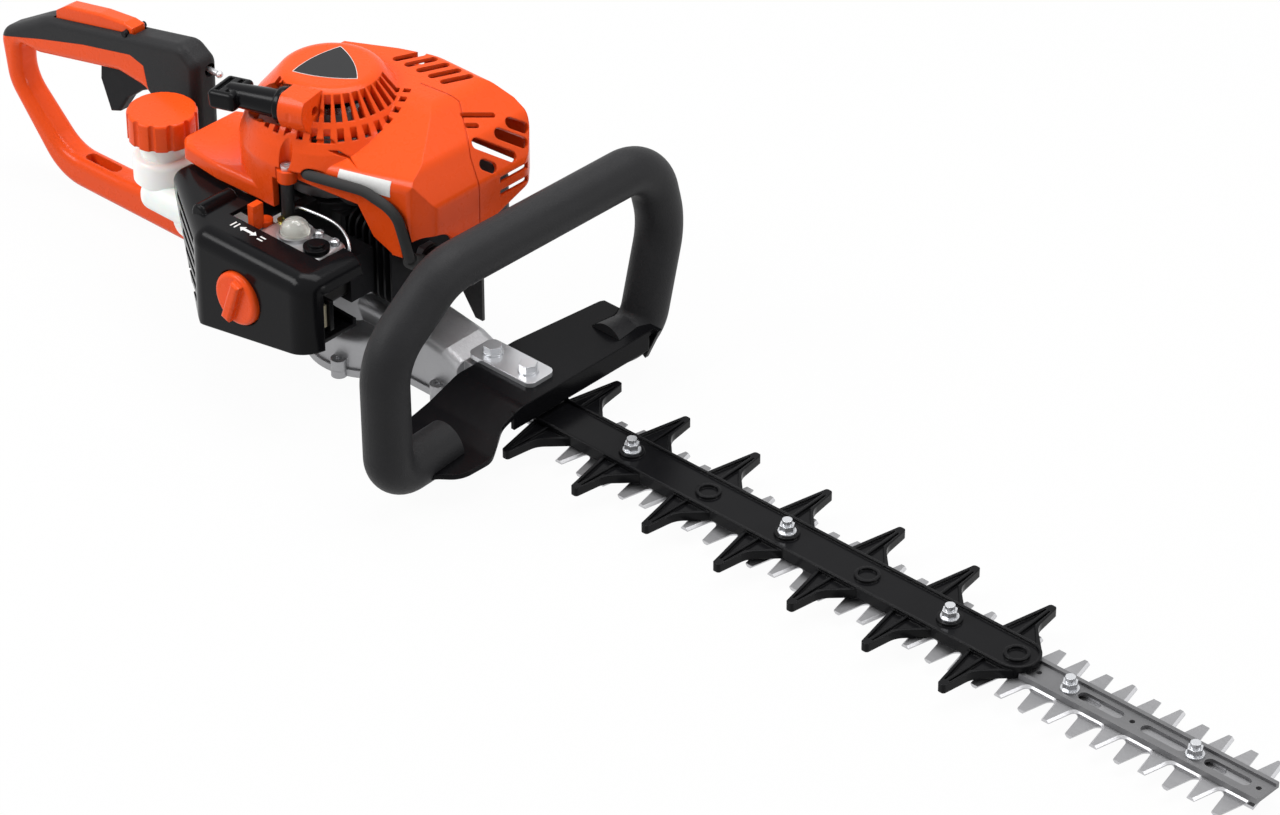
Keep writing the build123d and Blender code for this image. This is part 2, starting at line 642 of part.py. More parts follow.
# Drive train
def cam_gear():
    half_tooth = 180 / GEAR_TEETH
    wheel = Pos(CAM_X, 0, GEAR_Z) * Rot(0, 0, half_tooth) * involute_wheel(GEAR_TEETH, -TOOTH_SHIFT)
    gear = extrude(wheel, GEAR_T)
    for n in range(GEAR_WEB_HOLES):
        a = 2 * pi * n / GEAR_WEB_HOLES
        x, y = CAM_X + GEAR_WEB_R * cos(a), GEAR_WEB_R * sin(a)
        gear -= disc(x, y, GEAR_Z, GEAR_TOP, GEAR_WEB_HOLE_R)
    gear += disc(CAM_X, 0, COVER_T - BEARING_T / 2 + 0.5, CHAMBER_TOP + BEARING_T, CAM_SHAFT_R - RUN)
    for z0, turn in ((LOWER_Z, 180), (UPPER_Z, 0)):
        a = radians(CAM_REST + turn)
        x, y = CAM_X + ECCENTRIC * cos(a), ECCENTRIC * sin(a)
        gear += disc(x, y, z0, z0 + BLADE_T, CAM_R)
    gear += disc(CAM_X, 0, UPPER_Z, GEAR_Z, CAM_SHAFT_R + 1)
    return gear


def cam_bearings():
    low = ring(CAM_X, 0, COVER_T - BEARING_T / 2, COVER_T, CAM_SHAFT_R, CAM_BEARING_R)
    top = ring(CAM_X, 0, CHAMBER_TOP, CHAMBER_TOP + BEARING_T, CAM_SHAFT_R, CAM_BEARING_R)
    return group([low, top])


def clutch_drum():
    pinion = extrude(Pos(0, 0, GEAR_Z) * involute_wheel(PINION_TEETH, TOOTH_SHIFT), GEAR_T)
    drum = pinion + disc(0, 0, GEAR_TOP, DRUM_Z, DRUM_SHAFT_R - RUN)
    drum += disc(0, 0, DRUM_Z, DRUM_TOP, DRUM_R)
    drum -= disc(0, 0, DRUM_Z + DRUM_T, DRUM_TOP, DRUM_R - DRUM_T)
    return drum


def drum_bearing():
    return ring(0, 0, CHAMBER_TOP, CHAMBER_TOP + BEARING_T, DRUM_SHAFT_R, DRUM_BEARING_R)


def clutch_zone():
    z0 = DRUM_Z + DRUM_T + 2
    return z0, z0 + SHOE_H


def clutch_shoes():
    z0, z1 = clutch_zone()
    outer = DRUM_R - DRUM_T - SHOE_GAP
    shoes = []
    for turn in (0, 180):
        shoe = ring(0, 0, z0, z1, SHOE_R0, outer)
        sector = [(0, 0)]
        for step in range(7):
            a = radians(turn - SHOE_SWEEP / 2 + SHOE_SWEEP * step / 6)
            sector.append((2 * outer * cos(a), 2 * outer * sin(a)))
        shoe &= plan(sector, z0, z1)
        shoe -= ring(0, 0, z1 - 2 * SPRING_WIRE_R - 1, z1, outer - 7, outer - 3)
        shoes.append(shoe)
    return group(shoes)


def clutch_spring():
    z1 = clutch_zone()[1]
    outer = DRUM_R - DRUM_T - SHOE_GAP
    return Pos(0, 0, z1 - SPRING_WIRE_R - 1) * Torus(outer - 5, SPRING_WIRE_R)


# Gear case
def case_screw_places():
    """Lugs round the bowl, then one each side of the neck."""
    lug_r = CASE_R + SCREW_HEAD_R / 2
    places = [(CAM_X + lug_r * cos(radians(a)), lug_r * sin(radians(a))) for a in (75, 140, 220, 285)]
    side_y = NECK_WIDTH / 2 + SCREW_HEAD_R / 2
    return places + [(NECK_X - 14, side_y), (NECK_X - 14, -side_y)]


def case_plan(z0, z1, spread):
    """Footprint shared by the case and its cover."""
    half = NECK_WIDTH / 2 + spread
    foot = disc(CAM_X, 0, z0, z1, CASE_R + spread) + block(CAM_X, NECK_X + spread, -half, half, z0, z1)
    for x, y in case_screw_places():
        foot += disc(x, y, z0, z1, SCREW_HEAD_R + 1.4)
    return foot


def gear_case():
    bowl = disc(CAM_X, 0, COVER_T, CEILING_Z, CASE_R)
    bowl = fillet(bowl.edges().sort_by(Axis.Z)[-1], CASE_ROUND)
    half = NECK_WIDTH / 2
    crest = (NECK_X - 12, TONGUE_TOP + 5)
    neck = side(((CAM_X, COVER_T), (NECK_X, COVER_T), (NECK_X, TONGUE_TOP), crest,
                 (NECK_SHOULDER_X, NECK_TOP), (CAM_X, NECK_TOP)), -half, half)
    top = [e for e in neck.edges() if abs(abs(e.center().Y) - half) < 0.1 and e.center().Z > TONGUE_TOP]
    neck = fillet(top, NECK_ROUND)
    case = bowl + neck + case_plan(COVER_T, COVER_T + COVER_LIP, 0)
    for x, y in case_screw_places():
        case += disc(x, y, COVER_T, COVER_T + SCREW_DEPTH, SCREW_HEAD_R + 1.4)
    skirt = CEILING_Z - CASE_ROUND
    case += Pos(CAM_X / 4, 0, (skirt + BELL_TOP - BELL_FLANGE_T) / 2) * Cone(
        BELL_R + CAM_X / 4, BELL_R - CAM_X / 5, BELL_TOP - BELL_FLANGE_T - skirt)
    case += disc(0, 0, CEILING_Z, BELL_TOP, BELL_R)
    case += disc(0, 0, BELL_TOP - BELL_FLANGE_T, BELL_TOP, BELL_FLANGE_R)
    case += block(NECK_X - CAST, TONGUE_X, -TONGUE_WIDTH / 2, TONGUE_WIDTH / 2, RAIL_TOP, TONGUE_TOP)
    case += block(FOOT_X, 0, -HANDLE_WIDTH / 2, HANDLE_WIDTH / 2, FOOT_Z[0], FOOT_Z[1])
    case -= disc(CAM_X, 0, COVER_T, CHAMBER_TOP, CHAMBER_R)
    case -= disc(0, 0, COVER_T, CHAMBER_TOP, GEAR_MODULE * (PINION_TEETH / 2 + 2 + TOOTH_SHIFT))
    tunnel = BLADE_WIDTH / 2 + 1
    case -= block(CAM_X, NECK_X, -tunnel, tunnel, COVER_T, RAIL_TOP)
    case -= disc(0, 0, CEILING_Z, BELL_TOP, DRUM_R + 2)
    case -= disc(CAM_X, 0, CHAMBER_TOP, CHAMBER_TOP + BEARING_T, CAM_BEARING_R)
    case -= disc(0, 0, CHAMBER_TOP, CHAMBER_TOP + BEARING_T, DRUM_BEARING_R)
    case -= disc(0, 0, CHAMBER_TOP, CEILING_Z, DRUM_SHAFT_R + 2)
    for x in HANDLE_BOLT_X:
        case -= disc(x, 0, RAIL_TOP, TONGUE_TOP, HANDLE_BOLT_R)
    for x, y in case_screw_places():
        case -= disc(x, y, COVER_T, COVER_T + SCREW_DEPTH, SCREW_R)
    return case


def gear_case_cover():
    cover = case_plan(0, COVER_T, COVER_LIP / 2)
    cover -= disc(CAM_X, 0, COVER_T - BEARING_T / 2, COVER_T, CAM_BEARING_R)
    for x, y in case_screw_places():
        cover -= disc(x, y, 0, SCREW_HEAD_T + SEAT, SCREW_HEAD_R)
        cover -= disc(x, y, 0, COVER_T, SCREW_R)
    return cover


def gear_cover_screws():
    screws = []
    for x, y in case_screw_places():
        screw = disc(x, y, SEAT, SCREW_HEAD_T + SEAT, SCREW_HEAD_R)
        screw -= hexagon(x, y, SEAT, SEAT + SCREW_HEAD_T / 2, SCREW_R * 1.6)
        screws.append(screw + disc(x, y, SCREW_HEAD_T + SEAT, COVER_T + SCREW_DEPTH - 1, SCREW_R))
    return group(screws)


# Engine
def crankcase_form():
    pad = FIN_SIDE / 2 - 2
    body = disc(0, 0, BELL_TOP, CRANKCASE_TOP, CRANKCASE_R)
    body += disc(0, 0, BELL_TOP, BELL_TOP + BELL_FLANGE_T, BELL_FLANGE_R)
    body += block(0, CYLINDER_FOOT_X, -pad, pad, CYLINDER_Z - pad + 4, CYLINDER_Z + pad - 4)
    body -= disc(0, 0, CRANK_ROOM_Z, CRANK_ROOM_TOP, ROOM_R)
    body -= disc(0, 0, BELL_TOP, CRANKCASE_TOP, CRANK_SHAFT_R + 1.2)
    body -= disc(0, 0, CRANK_ROOM_Z - CRANK_BEARING_T, CRANK_ROOM_TOP + CRANK_BEARING_T, CRANK_BEARING_R)
    flange = FIN_SIDE / 2 - 6
    body -= block(CYLINDER_FOOT_X, BELL_FLANGE_R, -pad, pad, CYLINDER_Z - flange, CRANKCASE_TOP)
    return body - bar_x(0, CYLINDER_FOOT_X, 0, CYLINDER_Z, BORE_R + CYLINDER_WALL)


def crankcase_lower():
    return crankcase_form() & block(-60, 60, -60, 60, BELL_TOP, CYLINDER_Z)


def crankcase_upper():
    upper = crankcase_form() & block(-60, 60, -60, 60, CYLINDER_Z, CRANKCASE_TOP)
    x, y, z, tail = COVER_SCREWS[0]
    r = COVER_POST_R
    low = CARB_Z[1] + 2 * SEAT
    upper += block(x - r, x + r, CARB_Y[1] + SEAT, -CRANKCASE_R + r, CRANK_ROOM_TOP + 2, CRANKCASE_TOP)
    upper += block(x - r, x + r, y, -FLYWHEEL_R - GAP, low, low + r)
    upper += disc(x, y, low, z - LUG_H, r)
    x0, x1, y0, y1, y_above, top = BULKHEAD
    upper += block(x0, x1, y0, y1, CYLINDER_Z, CRANKCASE_TOP) + block(x0, x1, y0, y_above, CYLINDER_Z, top)
    return upper - disc(x, y, z - LUG_H - tail - 2, z - LUG_H, SCREW_R)


def crank_bearings():
    low = ring(0, 0, CRANK_ROOM_Z - CRANK_BEARING_T, CRANK_ROOM_Z, CRANK_SHAFT_R, CRANK_BEARING_R)
    top = ring(0, 0, CRANK_ROOM_TOP, CRANK_ROOM_TOP + CRANK_BEARING_T, CRANK_SHAFT_R, CRANK_BEARING_R)
    return group([low, top])


def crankshaft():
    z0, z1 = clutch_zone()
    web_r = THROW + CRANK_PIN_R + 2
    shaft = disc(0, 0, z0, z1 + 2, SHOE_R0)
    shaft += disc(0, 0, z1, CRANK_ROOM_Z + 1, CRANK_SHAFT_R - RUN)
    shaft += disc(0, 0, CRANK_ROOM_Z + 0.5, CRANK_ROOM_Z + 0.5 + WEB_T, web_r)
    shaft += disc(0, 0, CRANK_ROOM_TOP - 0.5 - WEB_T, CRANK_ROOM_TOP - 0.5, web_r)
    shaft += disc(0, 0, CRANK_ROOM_TOP - 1, FLYWHEEL_Z + FLYWHEEL_T + 8, CRANK_SHAFT_R - RUN)
    return shaft


def connecting_rod():
    z0, z1 = CYLINDER_Z - ROD_T / 2, CYLINDER_Z + ROD_T / 2
    rod = disc(THROW, 0, z0, z1, BIG_END_R) + disc(TDC_PIN_X, 0, z0, z1, SMALL_END_R)
    rod += block(THROW, TDC_PIN_X, -ROD_WIDTH / 2, ROD_WIDTH / 2, z0 + 1, z1 - 1)
    rod -= disc(THROW, 0, z0, z1, CRANK_PIN_R)
    rod -= disc(TDC_PIN_X, 0, z0, z1, PISTON_PIN_R + RUN)
    return rod


def crank_pin():
    reach = ROD_T / 2 + ROD_SIDE_GAP - SEAT
    return disc(THROW, 0, CYLINDER_Z - reach, CYLINDER_Z + reach, CRANK_PIN_R)


def piston():
    skirt_x = CROWN_X - PISTON_H
    inner_r = PISTON_R - 3
    body = bar_x(skirt_x, CROWN_X, 0, CYLINDER_Z, PISTON_R)
    body -= bar_x(skirt_x, CROWN_X - CROWN_T, 0, CYLINDER_Z, inner_r)
    slot = ROD_T / 2 + GAP
    for z0, z1 in ((CYLINDER_Z - PISTON_R, CYLINDER_Z - slot), (CYLINDER_Z + slot, CYLINDER_Z + PISTON_R)):
        boss = disc(TDC_PIN_X, 0, z0, z1, PISTON_PIN_R + 2.5)
        body += boss & bar_x(skirt_x, CROWN_X, 0, CYLINDER_Z, inner_r + 1)
    body -= disc(TDC_PIN_X, 0, CYLINDER_Z - PISTON_R, CYLINDER_Z + PISTON_R, PISTON_PIN_R)
    for n in range(2):
        x = CROWN_X - 2.5 - 3 * n
        body -= bar_x(x - 1, x, 0, CYLINDER_Z, PISTON_R) - bar_x(x - 1, x, 0, CYLINDER_Z, PISTON_R - 1)
    return body


def piston_pin():
    reach = PISTON_R - 2.5
    return disc(TDC_PIN_X, 0, CYLINDER_Z - reach, CYLINDER_Z + reach, PISTON_PIN_R)


def cylinder():
    wall_r = BORE_R + CYLINDER_WALL
    half = FIN_SIDE / 2
    body = bar_x(CYLINDER_FOOT_X - 8, HEAD_X, 0, CYLINDER_Z, wall_r - RUN)
    foot_y, foot_z = half - 2, half - 6
    low, top = CYLINDER_Z - foot_z, CYLINDER_Z + foot_z
    body += block(CYLINDER_FOOT_X, CYLINDER_FOOT_X + 4, -foot_y, foot_y, low, top)
    first = CYLINDER_FOOT_X + 8
    step = (HEAD_X - first - FIN_T) / (FINS - 1)
    for n in range(FINS):
        fin = Plane(origin=(first + n * step, 0, CYLINDER_Z), x_dir=(0, 1, 0), z_dir=(1, 0, 0))
        body += extrude(fin * RectangleRounded(FIN_SIDE, FIN_SIDE, FIN_CORNER), FIN_T)
    port_x = CYLINDER_FOOT_X + 15
    body += bar_y(port_x, -half - 4, half + 4, CYLINDER_Z, PORT_R + 3)
    body -= bar_x(CYLINDER_FOOT_X - 8, CROWN_X + HEAD_CLEAR, 0, CYLINDER_Z, BORE_R)
    body -= bar_y(port_x, -half - 4, half + 4, CYLINDER_Z, PORT_R)
    body -= bar_x(CROWN_X, HEAD_X, 0, CYLINDER_Z, PLUG_THREAD_R)
    spigot_x, sweep = CYLINDER_FOOT_X - 8, ROD_T / 2 + 1
    low, top = CYLINDER_Z - sweep, CYLINDER_Z + sweep
    return body - block(spigot_x, spigot_x + ROD_RELIEF, -wall_r, wall_r, low, top)


def intake_insulator():
    port_x = CYLINDER_FOOT_X + 15
    face_y = -FIN_SIDE / 2 - 4
    plate = block(port_x - 18, port_x + 18, CARB_Y[1], face_y, CYLINDER_Z - 15, CYLINDER_Z + 15)
    return plate - bar_y(port_x, CARB_Y[1], face_y, CYLINDER_Z, PORT_R)


def spark_plug():
    plug = bar_x(CROWN_X + HEAD_CLEAR, HEAD_X, 0, CYLINDER_Z, PLUG_THREAD_R)
    seat = Plane(origin=(HEAD_X, 0, CYLINDER_Z), x_dir=(0, 1, 0), z_dir=(1, 0, 0))
    plug += extrude(seat * RegularPolygon(PLUG_HEX_AF / 2, 6, major_radius=False), PLUG_HEX_T)
    return plug + bar_x(HEAD_X + PLUG_HEX_T, HEAD_X + PLUG_LENGTH, 0, CYLINDER_Z, PLUG_STEM_R)


def sleeve_line():
    """Where the plug cap's sleeve starts, and the direction it runs in to the lead."""
    start = Vector(HEAD_X + PLUG_HEX_T + CAP_LENGTH / 2, -CAP_BODY_R + 3, CYLINDER_Z)
    return start, (Vector(*LEAD_PATH[-1]) - start)


def plug_cap():
    x0 = HEAD_X + PLUG_HEX_T + SEAT
    cap = bar_x(x0, x0 + CAP_LENGTH, 0, CYLINDER_Z, CAP_BODY_R - 1.5)
    for n in range(CAP_RIBS):
        x = x0 + n * CAP_LENGTH / CAP_RIBS
        cap += bar_x(x, x + CAP_LENGTH / CAP_RIBS / 2, 0, CYLINDER_Z, CAP_BODY_R)
    start, run = sleeve_line()
    cap += Plane(origin=start + run / 2, z_dir=run) * Cone(LEAD_R + 3, LEAD_R + 1.6, run.length)
    stem_x = HEAD_X + PLUG_LENGTH
    return cap - bar_x(x0, stem_x, 0, CYLINDER_Z, PLUG_STEM_R) - lead_tube(LEAD_R)


def lead_tube(r):
    path = FilletPolyline(*LEAD_PATH, radius=LEAD_BEND)
    first = Vector(*LEAD_PATH[1]) - Vector(*LEAD_PATH[0])
    return sweep(Plane(origin=LEAD_PATH[0], z_dir=first) * Circle(r), path)


def ignition_lead():
    return lead_tube(LEAD_R)


def ignition_coil():
    x0 = FLYWHEEL_R + SEAT + 0.2
    half_y = COIL_SIZE[1] / 2
    z0 = FLYWHEEL_Z
    core = block(x0, x0 + COIL_SIZE[0], -half_y, half_y, z0, z0 + COIL_SIZE[2])
    core -= block(x0, x0 + 8, -half_y / 3, half_y / 3, z0, z0 + COIL_SIZE[2])
    core -= disc(0, 0, z0, z0 + COIL_SIZE[2], FLYWHEEL_R + SEAT)
    x1 = x0 + COIL_SIZE[0]
    legs = block(x1 - 8, x1, -half_y / 2, half_y / 2, CYLINDER_Z + FIN_SIDE / 2, z0)
    return core + legs


def muffler():
    x0, x1, y0, y1, z0, z1 = MUFFLER
    box = fillet(block(x0, x1, y0, y1, z0, z1).edges(), MUFFLER_ROUND)
    inner = block(x0 + MUFFLER_SKIN, x1 - MUFFLER_SKIN, y0 + MUFFLER_SKIN, y1 - MUFFLER_SKIN,
                  z0 + MUFFLER_SKIN, z1 - MUFFLER_SKIN)
    box -= fillet(inner.edges(), MUFFLER_ROUND - MUFFLER_SKIN)
    port_x = CYLINDER_FOOT_X + 15
    box += bar_y(port_x, FIN_SIDE / 2 + 4, y0 + 2, CYLINDER_Z, PORT_R + 3)
    box -= bar_y(port_x, FIN_SIDE / 2 + 4, y0 + 5, CYLINDER_Z, PORT_R)
    box -= bar_x(x1 - 8, x1, (y0 + y1) / 2 + 6, z0 + 14, 5)
    return box


def muffler_guard():
    x0, x1, y0, y1, z0, z1 = MUFFLER
    tray = block(x0, x1, y0, y1, z0 - SHEET - SEAT, z0 - SEAT)
    low, high = z0 - FIN_DROP, z0 - SEAT
    fin = side(((x0 + 16, high), (x1, high), (x1, low), (x1 - 6, low)), y0, y0 + SHEET)
    lug = block(0, x0 + 12, y0 - 6, y0 + SHEET, z0 - SHEET - SEAT, z0 - SEAT)
    lug -= disc(0, 0, z0 - SHEET - SEAT, z0, CRANKCASE_R + GAP)
    return tray + fin + lug


# Flywheel and starter
def flywheel():
    wheel = disc(0, 0, FLYWHEEL_Z, FLYWHEEL_Z + FLYWHEEL_T, FLYWHEEL_R)
    z0, z1 = FLYWHEEL_Z + FLYWHEEL_T, FAN_TOP
    for n in range(FAN_BLADES):
        vane = Pos((HUB_R + FLYWHEEL_R) / 2, 0, (z0 + z1) / 2) * Rot(0, 0, 25) * Box(
            FLYWHEEL_R - HUB_R - 4, FAN_BLADE_T, z1 - z0)
        wheel += Rot(0, 0, 360 * n / FAN_BLADES) * vane
    wheel += disc(0, 0, z0, z1, HUB_R)
    wheel += ring(0, 0, z1, SPRING_Z - 2, HUB_R - 3, HUB_R)
    wheel -= disc(0, 0, FLYWHEEL_Z + FLYWHEEL_T + 8, z1, HUB_R - 3)
    return wheel - disc(0, 0, FLYWHEEL_Z, FLYWHEEL_Z + FLYWHEEL_T + 8, CRANK_SHAFT_R - RUN)


def starter_pulley():
    groove = PULLEY_T / 2
    mid = PULLEY_Z + groove
    pulley = disc(0, 0, PULLEY_Z, PULLEY_TOP, PULLEY_R)
    pulley -= ring(0, 0, mid - groove / 2, mid + groove / 2, PULLEY_R - 4 * ROPE_R, PULLEY_R)
    return pulley - disc(0, 0, PULLEY_Z, PULLEY_TOP, POST_R + RUN)


def starter_rope():
    mid = PULLEY_Z + PULLEY_T / 2
    half = PULLEY_T / 4 - 0.2
    return ring(0, 0, mid - half, mid + half, PULLEY_R - 4 * ROPE_R, PULLEY_R - ROPE_R)


def recoil_spring():
    coil = []
    for n in range(SPRING_TURNS):
        r = POST_R + 3 + n * SPRING_STEP
        coil.append(ring(0, 0, SPRING_Z, SPRING_Z + SPRING_T, r, r + SPRING_BAND))
    web = block(POST_R, POST_R + 3 + SPRING_TURNS * SPRING_STEP, -1, 1, SPRING_Z, SPRING_Z + SPRING_T)
    band = coil[0]
    for turn in coil[1:]:
        band += turn
    return band + web - disc(0, 0, SPRING_Z, SPRING_Z + SPRING_T, POST_R)


def grip_plane(along):
    pull = Vector(*GRIP_PULL).normalized()
    return Plane(origin=Vector(*GRIP_ROOT) + pull * along, x_dir=(0, 0, 1), z_dir=pull)


def starter_grip():
    width, depth, length = GRIP_END
    collar = grip_plane(SEAT + GRIP_COLLAR_T / 2) * Cylinder(GRIP_COLLAR_R, GRIP_COLLAR_T)
    collar = fillet(collar.edges(), 2)
    neck_end = GRIP_LENGTH - length / 2
    neck_mid = (GRIP_COLLAR_T + neck_end) / 2
    neck = grip_plane(neck_mid) * Cone(GRIP_NECK_R + 2, GRIP_NECK_R, neck_end - GRIP_COLLAR_T + 1)
    end = grip_plane(GRIP_LENGTH - length / 2) * Box(depth, width, length)
    end = fillet(end.edges(), 3)
    for n in (-1, 1):
        groove = grip_plane(GRIP_LENGTH - length / 2 + n * length / 5) * Pos(depth / 2, 0, 0)
        end -= groove * Box(3, width * 0.7, 3.4)
    return collar + neck + end


# Engine cover
def drawn_in(points, radius, inset):
    """Closed outline with rounded corners, drawn in all round by inset."""
    face = make_face(FilletPolyline(*points, radius=radius, close=True))
    return offset(face, -inset, kind=Kind.INTERSECTION) if inset else face


def cover_body(inset, low):
    """Main body: its plan, cut to the roof lines seen from the side and from the front."""
    far_x, far_z = -90, 40
    roof = ((far_x, far_z), (FRONT_ROOF[0][0], far_z)) + FRONT_ROOF + ((far_x, COVER_TOP),)
    body = extrude(Plane.XY.offset(low) * drawn_in(COVER_PLAN, COVER_PLAN_R, inset), COVER_TOP + 10 - low)
    along = Plane(origin=(0, 120, 0), x_dir=(1, 0, 0), z_dir=(0, -1, 0))
    body &= extrude(along * drawn_in(roof, (0, 0) + FRONT_ROOF_R + (0,), inset), 240)
    near_y = NEAR_ROOF[0][0]
    roof = ((near_y, far_z),) + NEAR_ROOF + FAR_ROOF + ((FAR_ROOF[1][0], far_z),)
    across = Plane(origin=(-120, 0, 0), x_dir=(0, 1, 0), z_dir=(1, 0, 0))
    return body & extrude(across * drawn_in(roof, (0, 0, NEAR_ROOF_R) + FAR_ROOF_R + (0,), inset), 240)


def brow_round():
    """Room that rounds the edge where the sloping roof meets the near wall."""
    (y0, z0), (y1, z1) = NEAR_ROOF
    rise = (z1 - z0) / (y1 - y0)
    ends = [Vector(x, y, z0 + (y - y0) * rise) for x, y in COVER_PLAN[1:3]]
    run = (ends[1] - ends[0]).normalized()
    wall = Vector(run.Y, -run.X, 0).normalized()
    slope = Vector(0, -rise, 1).normalized()
    across = Plane(origin=ends[0] - run * BROW_SPAN, x_dir=wall, z_dir=run)
    down, inward = run.cross(wall), slope.cross(run)
    down = down if down.Z < 0 else -down
    inward = inward if inward.Z > 0 else -inward
    legs = [(v.dot(across.x_dir) * BROW_SPAN, v.dot(across.y_dir) * BROW_SPAN) for v in (down, inward)]
    (dx, dy), (ux, uy) = legs
    points = ((0, 0), (dx, dy), (dx + ux, dy + uy), (ux, uy))
    corner = FilletPolyline(*points, radius=(BROW_R, 0, 0, 0), close=True)
    return extrude(across * make_face(corner), 3 * BROW_SPAN)


def dome(inset, low):
    outline = ((0, low), (DOME_PROFILE[0][0], low)) + DOME_PROFILE[1:] + ((0, DOME_TOP),)
    face = make_face(FilletPolyline(*outline, radius=(0, 0) + DOME_ROUND + (0,), close=True))
    if inset:
        face = offset(face, -inset, kind=Kind.INTERSECTION) + Pos(inset / 2, low) * Rectangle(inset * 1.2, 1)
        face = Pos(-inset) * face & Pos(100, 0) * Rectangle(200, 800)
    return revolve(Plane.XZ * face, Axis.Z)


def shoulder():
    z0, z1 = SHOULDER_Z
    shelf = plan(SHOULDER_PLAN, z0, z1, SHOULDER_PLAN_R)
    rim = [e for e in shelf.edges() if e.center().Z > z1 - 0.1 and e.center().X + e.center().Y < -40]
    shelf = fillet(rim, SHOULDER_EDGE)
    return shelf - Pos(*SCOOP_AT, z1 - SCOOP_DEPTH + SCOOP_R) * Sphere(SCOOP_R)


def starter_boss():
    boss = grip_plane(-BOSS_DEPTH / 2) * Cylinder(GRIP_COLLAR_R + BOSS_WALL, BOSS_DEPTH)
    return boss & block(-100, 100, -100, 100, 0, DOME_TOP)


def cover_openings():
    """Cooling slots: two rows round the dome, bars across the roof, and slots and bars on the front."""
    cuts = []
    for n in range(SLOTS):
        turn = Rot(0, 0, SLOT_START + n * SLOT_STEP)
        for r0, r1 in (SLOT_UPPER, SLOT_LOWER):
            cuts.append(turn * block(r0, r1, -SLOT_WIDTH / 2, SLOT_WIDTH / 2, DOME_HEM_Z, DOME_TOP))
    for turn, outline in DOME_WINDOWS:
        c, s = cos(radians(turn)), sin(radians(turn))
        wall = Plane(origin=(0, 0, 0), x_dir=(-s, c, 0), z_dir=(c, s, 0)).offset(SLOT_UPPER[1])
        window = wall * make_face(Polyline(*outline, close=True))
        cuts.append(extrude(window, DOME_PROFILE[0][0] - SLOT_UPPER[0]))
    for n in range(LOUVRES):
        middle = Pos(ROOF_SLOT_AT[0] + n * LOUVRE_STEP, ROOF_SLOT_AT[1], COVER_TOP - 8)
        slot = middle * Rot(0, 0, ROOF_SLOT_TURN) * SlotOverall(ROOF_SLOT_LENGTH, LOUVRE_W)
        cuts.append(extrude(slot, 16))
    for x, y, z, length in FRONT_SLOTS:
        face = Plane(origin=(x, y, z), x_dir=FRONT_SLOT_RUN, z_dir=FRONT_SLOT_OUT)
        cuts.append(extrude(face * SlotOverall(length, FRONT_SLOT_W), FRONT_SLOT_REACH, both=True))
    for x, y, length in BROW_SLOTS:
        slot = Pos(x, y, COVER_TOP) * Rot(0, 0, ROOF_SLOT_TURN) * SlotOverall(length, BROW_SLOT_W)
        cuts.append(extrude(slot, BROW_REACH, both=True))
    front_x = FRONT_ROOF[0][0]
    for z in FRONT_BARS_Z:
        cuts.append(block(front_x - 8, front_x + 2, FRONT_BARS_Y[0], FRONT_BARS_Y[1], z, z + FRONT_BAR_H))
    return cuts


def cover_hems():
    """What the cover leaves open below its near and front walls."""
    low = COVER_Z0 - 60
    front_x = FRONT_ROOF[0][0]
    near = ((NEAR_HEM_X, low), (NEAR_HEM[-1][0], low)) + NEAR_HEM[::-1] + ((NEAR_HEM_X, NEAR_HEM[0][1]),)
    rise = ((FAR_HEM[0][0], low), (FAR_HEM[1][0], low), FAR_HEM[1], FAR_HEM[0])
    y, z, r = CAP_ARCH
    x0, x1 = front_x - 16, front_x + 10
    arch = bar_x(x0, x1, y, z, r) + block(x0, x1, y - r, y + r, low, z)
    return [side(near, -100, -20), front(rise, front_x - 60, front_x + 10), arch]


def engine_cover():
    edge_x, edge_y = SHOULDER_PLAN[4][0], -8
    outer = dome(0, SHOULDER_Z[0]) - block(edge_x, 120, -120, edge_y, 0, DOME_HEM_Z)
    outer += (cover_body(0, COVER_Z0) & brow_round()) + shoulder()
    inner = dome(WALL, 0) - block(edge_x - WALL, 120, -120, edge_y + WALL, 0, DOME_HEM_Z)
    inner += cover_body(WALL, 0)
    cover = outer - inner
    groove = plan(CREASE + tuple((x, y + CREASE_W) for x, y in CREASE[::-1]), COVER_Z0, COVER_TOP + 1)
    cover -= groove - cover_body(CREASE_DEPTH, COVER_Z0)
    for cut in cover_openings() + cover_hems():
        cover -= cut
    cover += starter_boss() - inner
    cover -= grip_plane(-BOSS_DEPTH / 2) * Cylinder(ROPE_R * 2, BOSS_DEPTH * 2)
    cover -= grip_plane(GRIP_LENGTH) * Cylinder(GRIP_COLLAR_R + 1, GRIP_LENGTH * 2)
    cover += disc(0, 0, SPRING_Z - 1, DOME_TOP - WALL, POST_R)
    cover -= lead_tube(LEAD_R + 1)
    for x, y, z, tail in COVER_SCREWS:
        cover += disc(x, y, z - LUG_H, z, LUG_R) + (disc(x, y, z, z + 3 * LUG_H, LUG_R) & outer)
        cover -= disc(x, y, z - LUG_H, z + 60, SCREW_R + 0.2)
        cover -= disc(x, y, z, z + 60, SCREW_HEAD_R + 0.6)
    return cover


def engine_cover_screws():
    screws = []
    for x, y, z, tail in COVER_SCREWS:
        screw = disc(x, y, z - LUG_H - tail, z, SCREW_R) + disc(x, y, z, z + SCREW_HEAD_T, SCREW_HEAD_R)
        screws.append(screw - hexagon(x, y, z + SCREW_HEAD_T / 2, z + SCREW_HEAD_T, SCREW_R * 1.6))
    return group(screws)


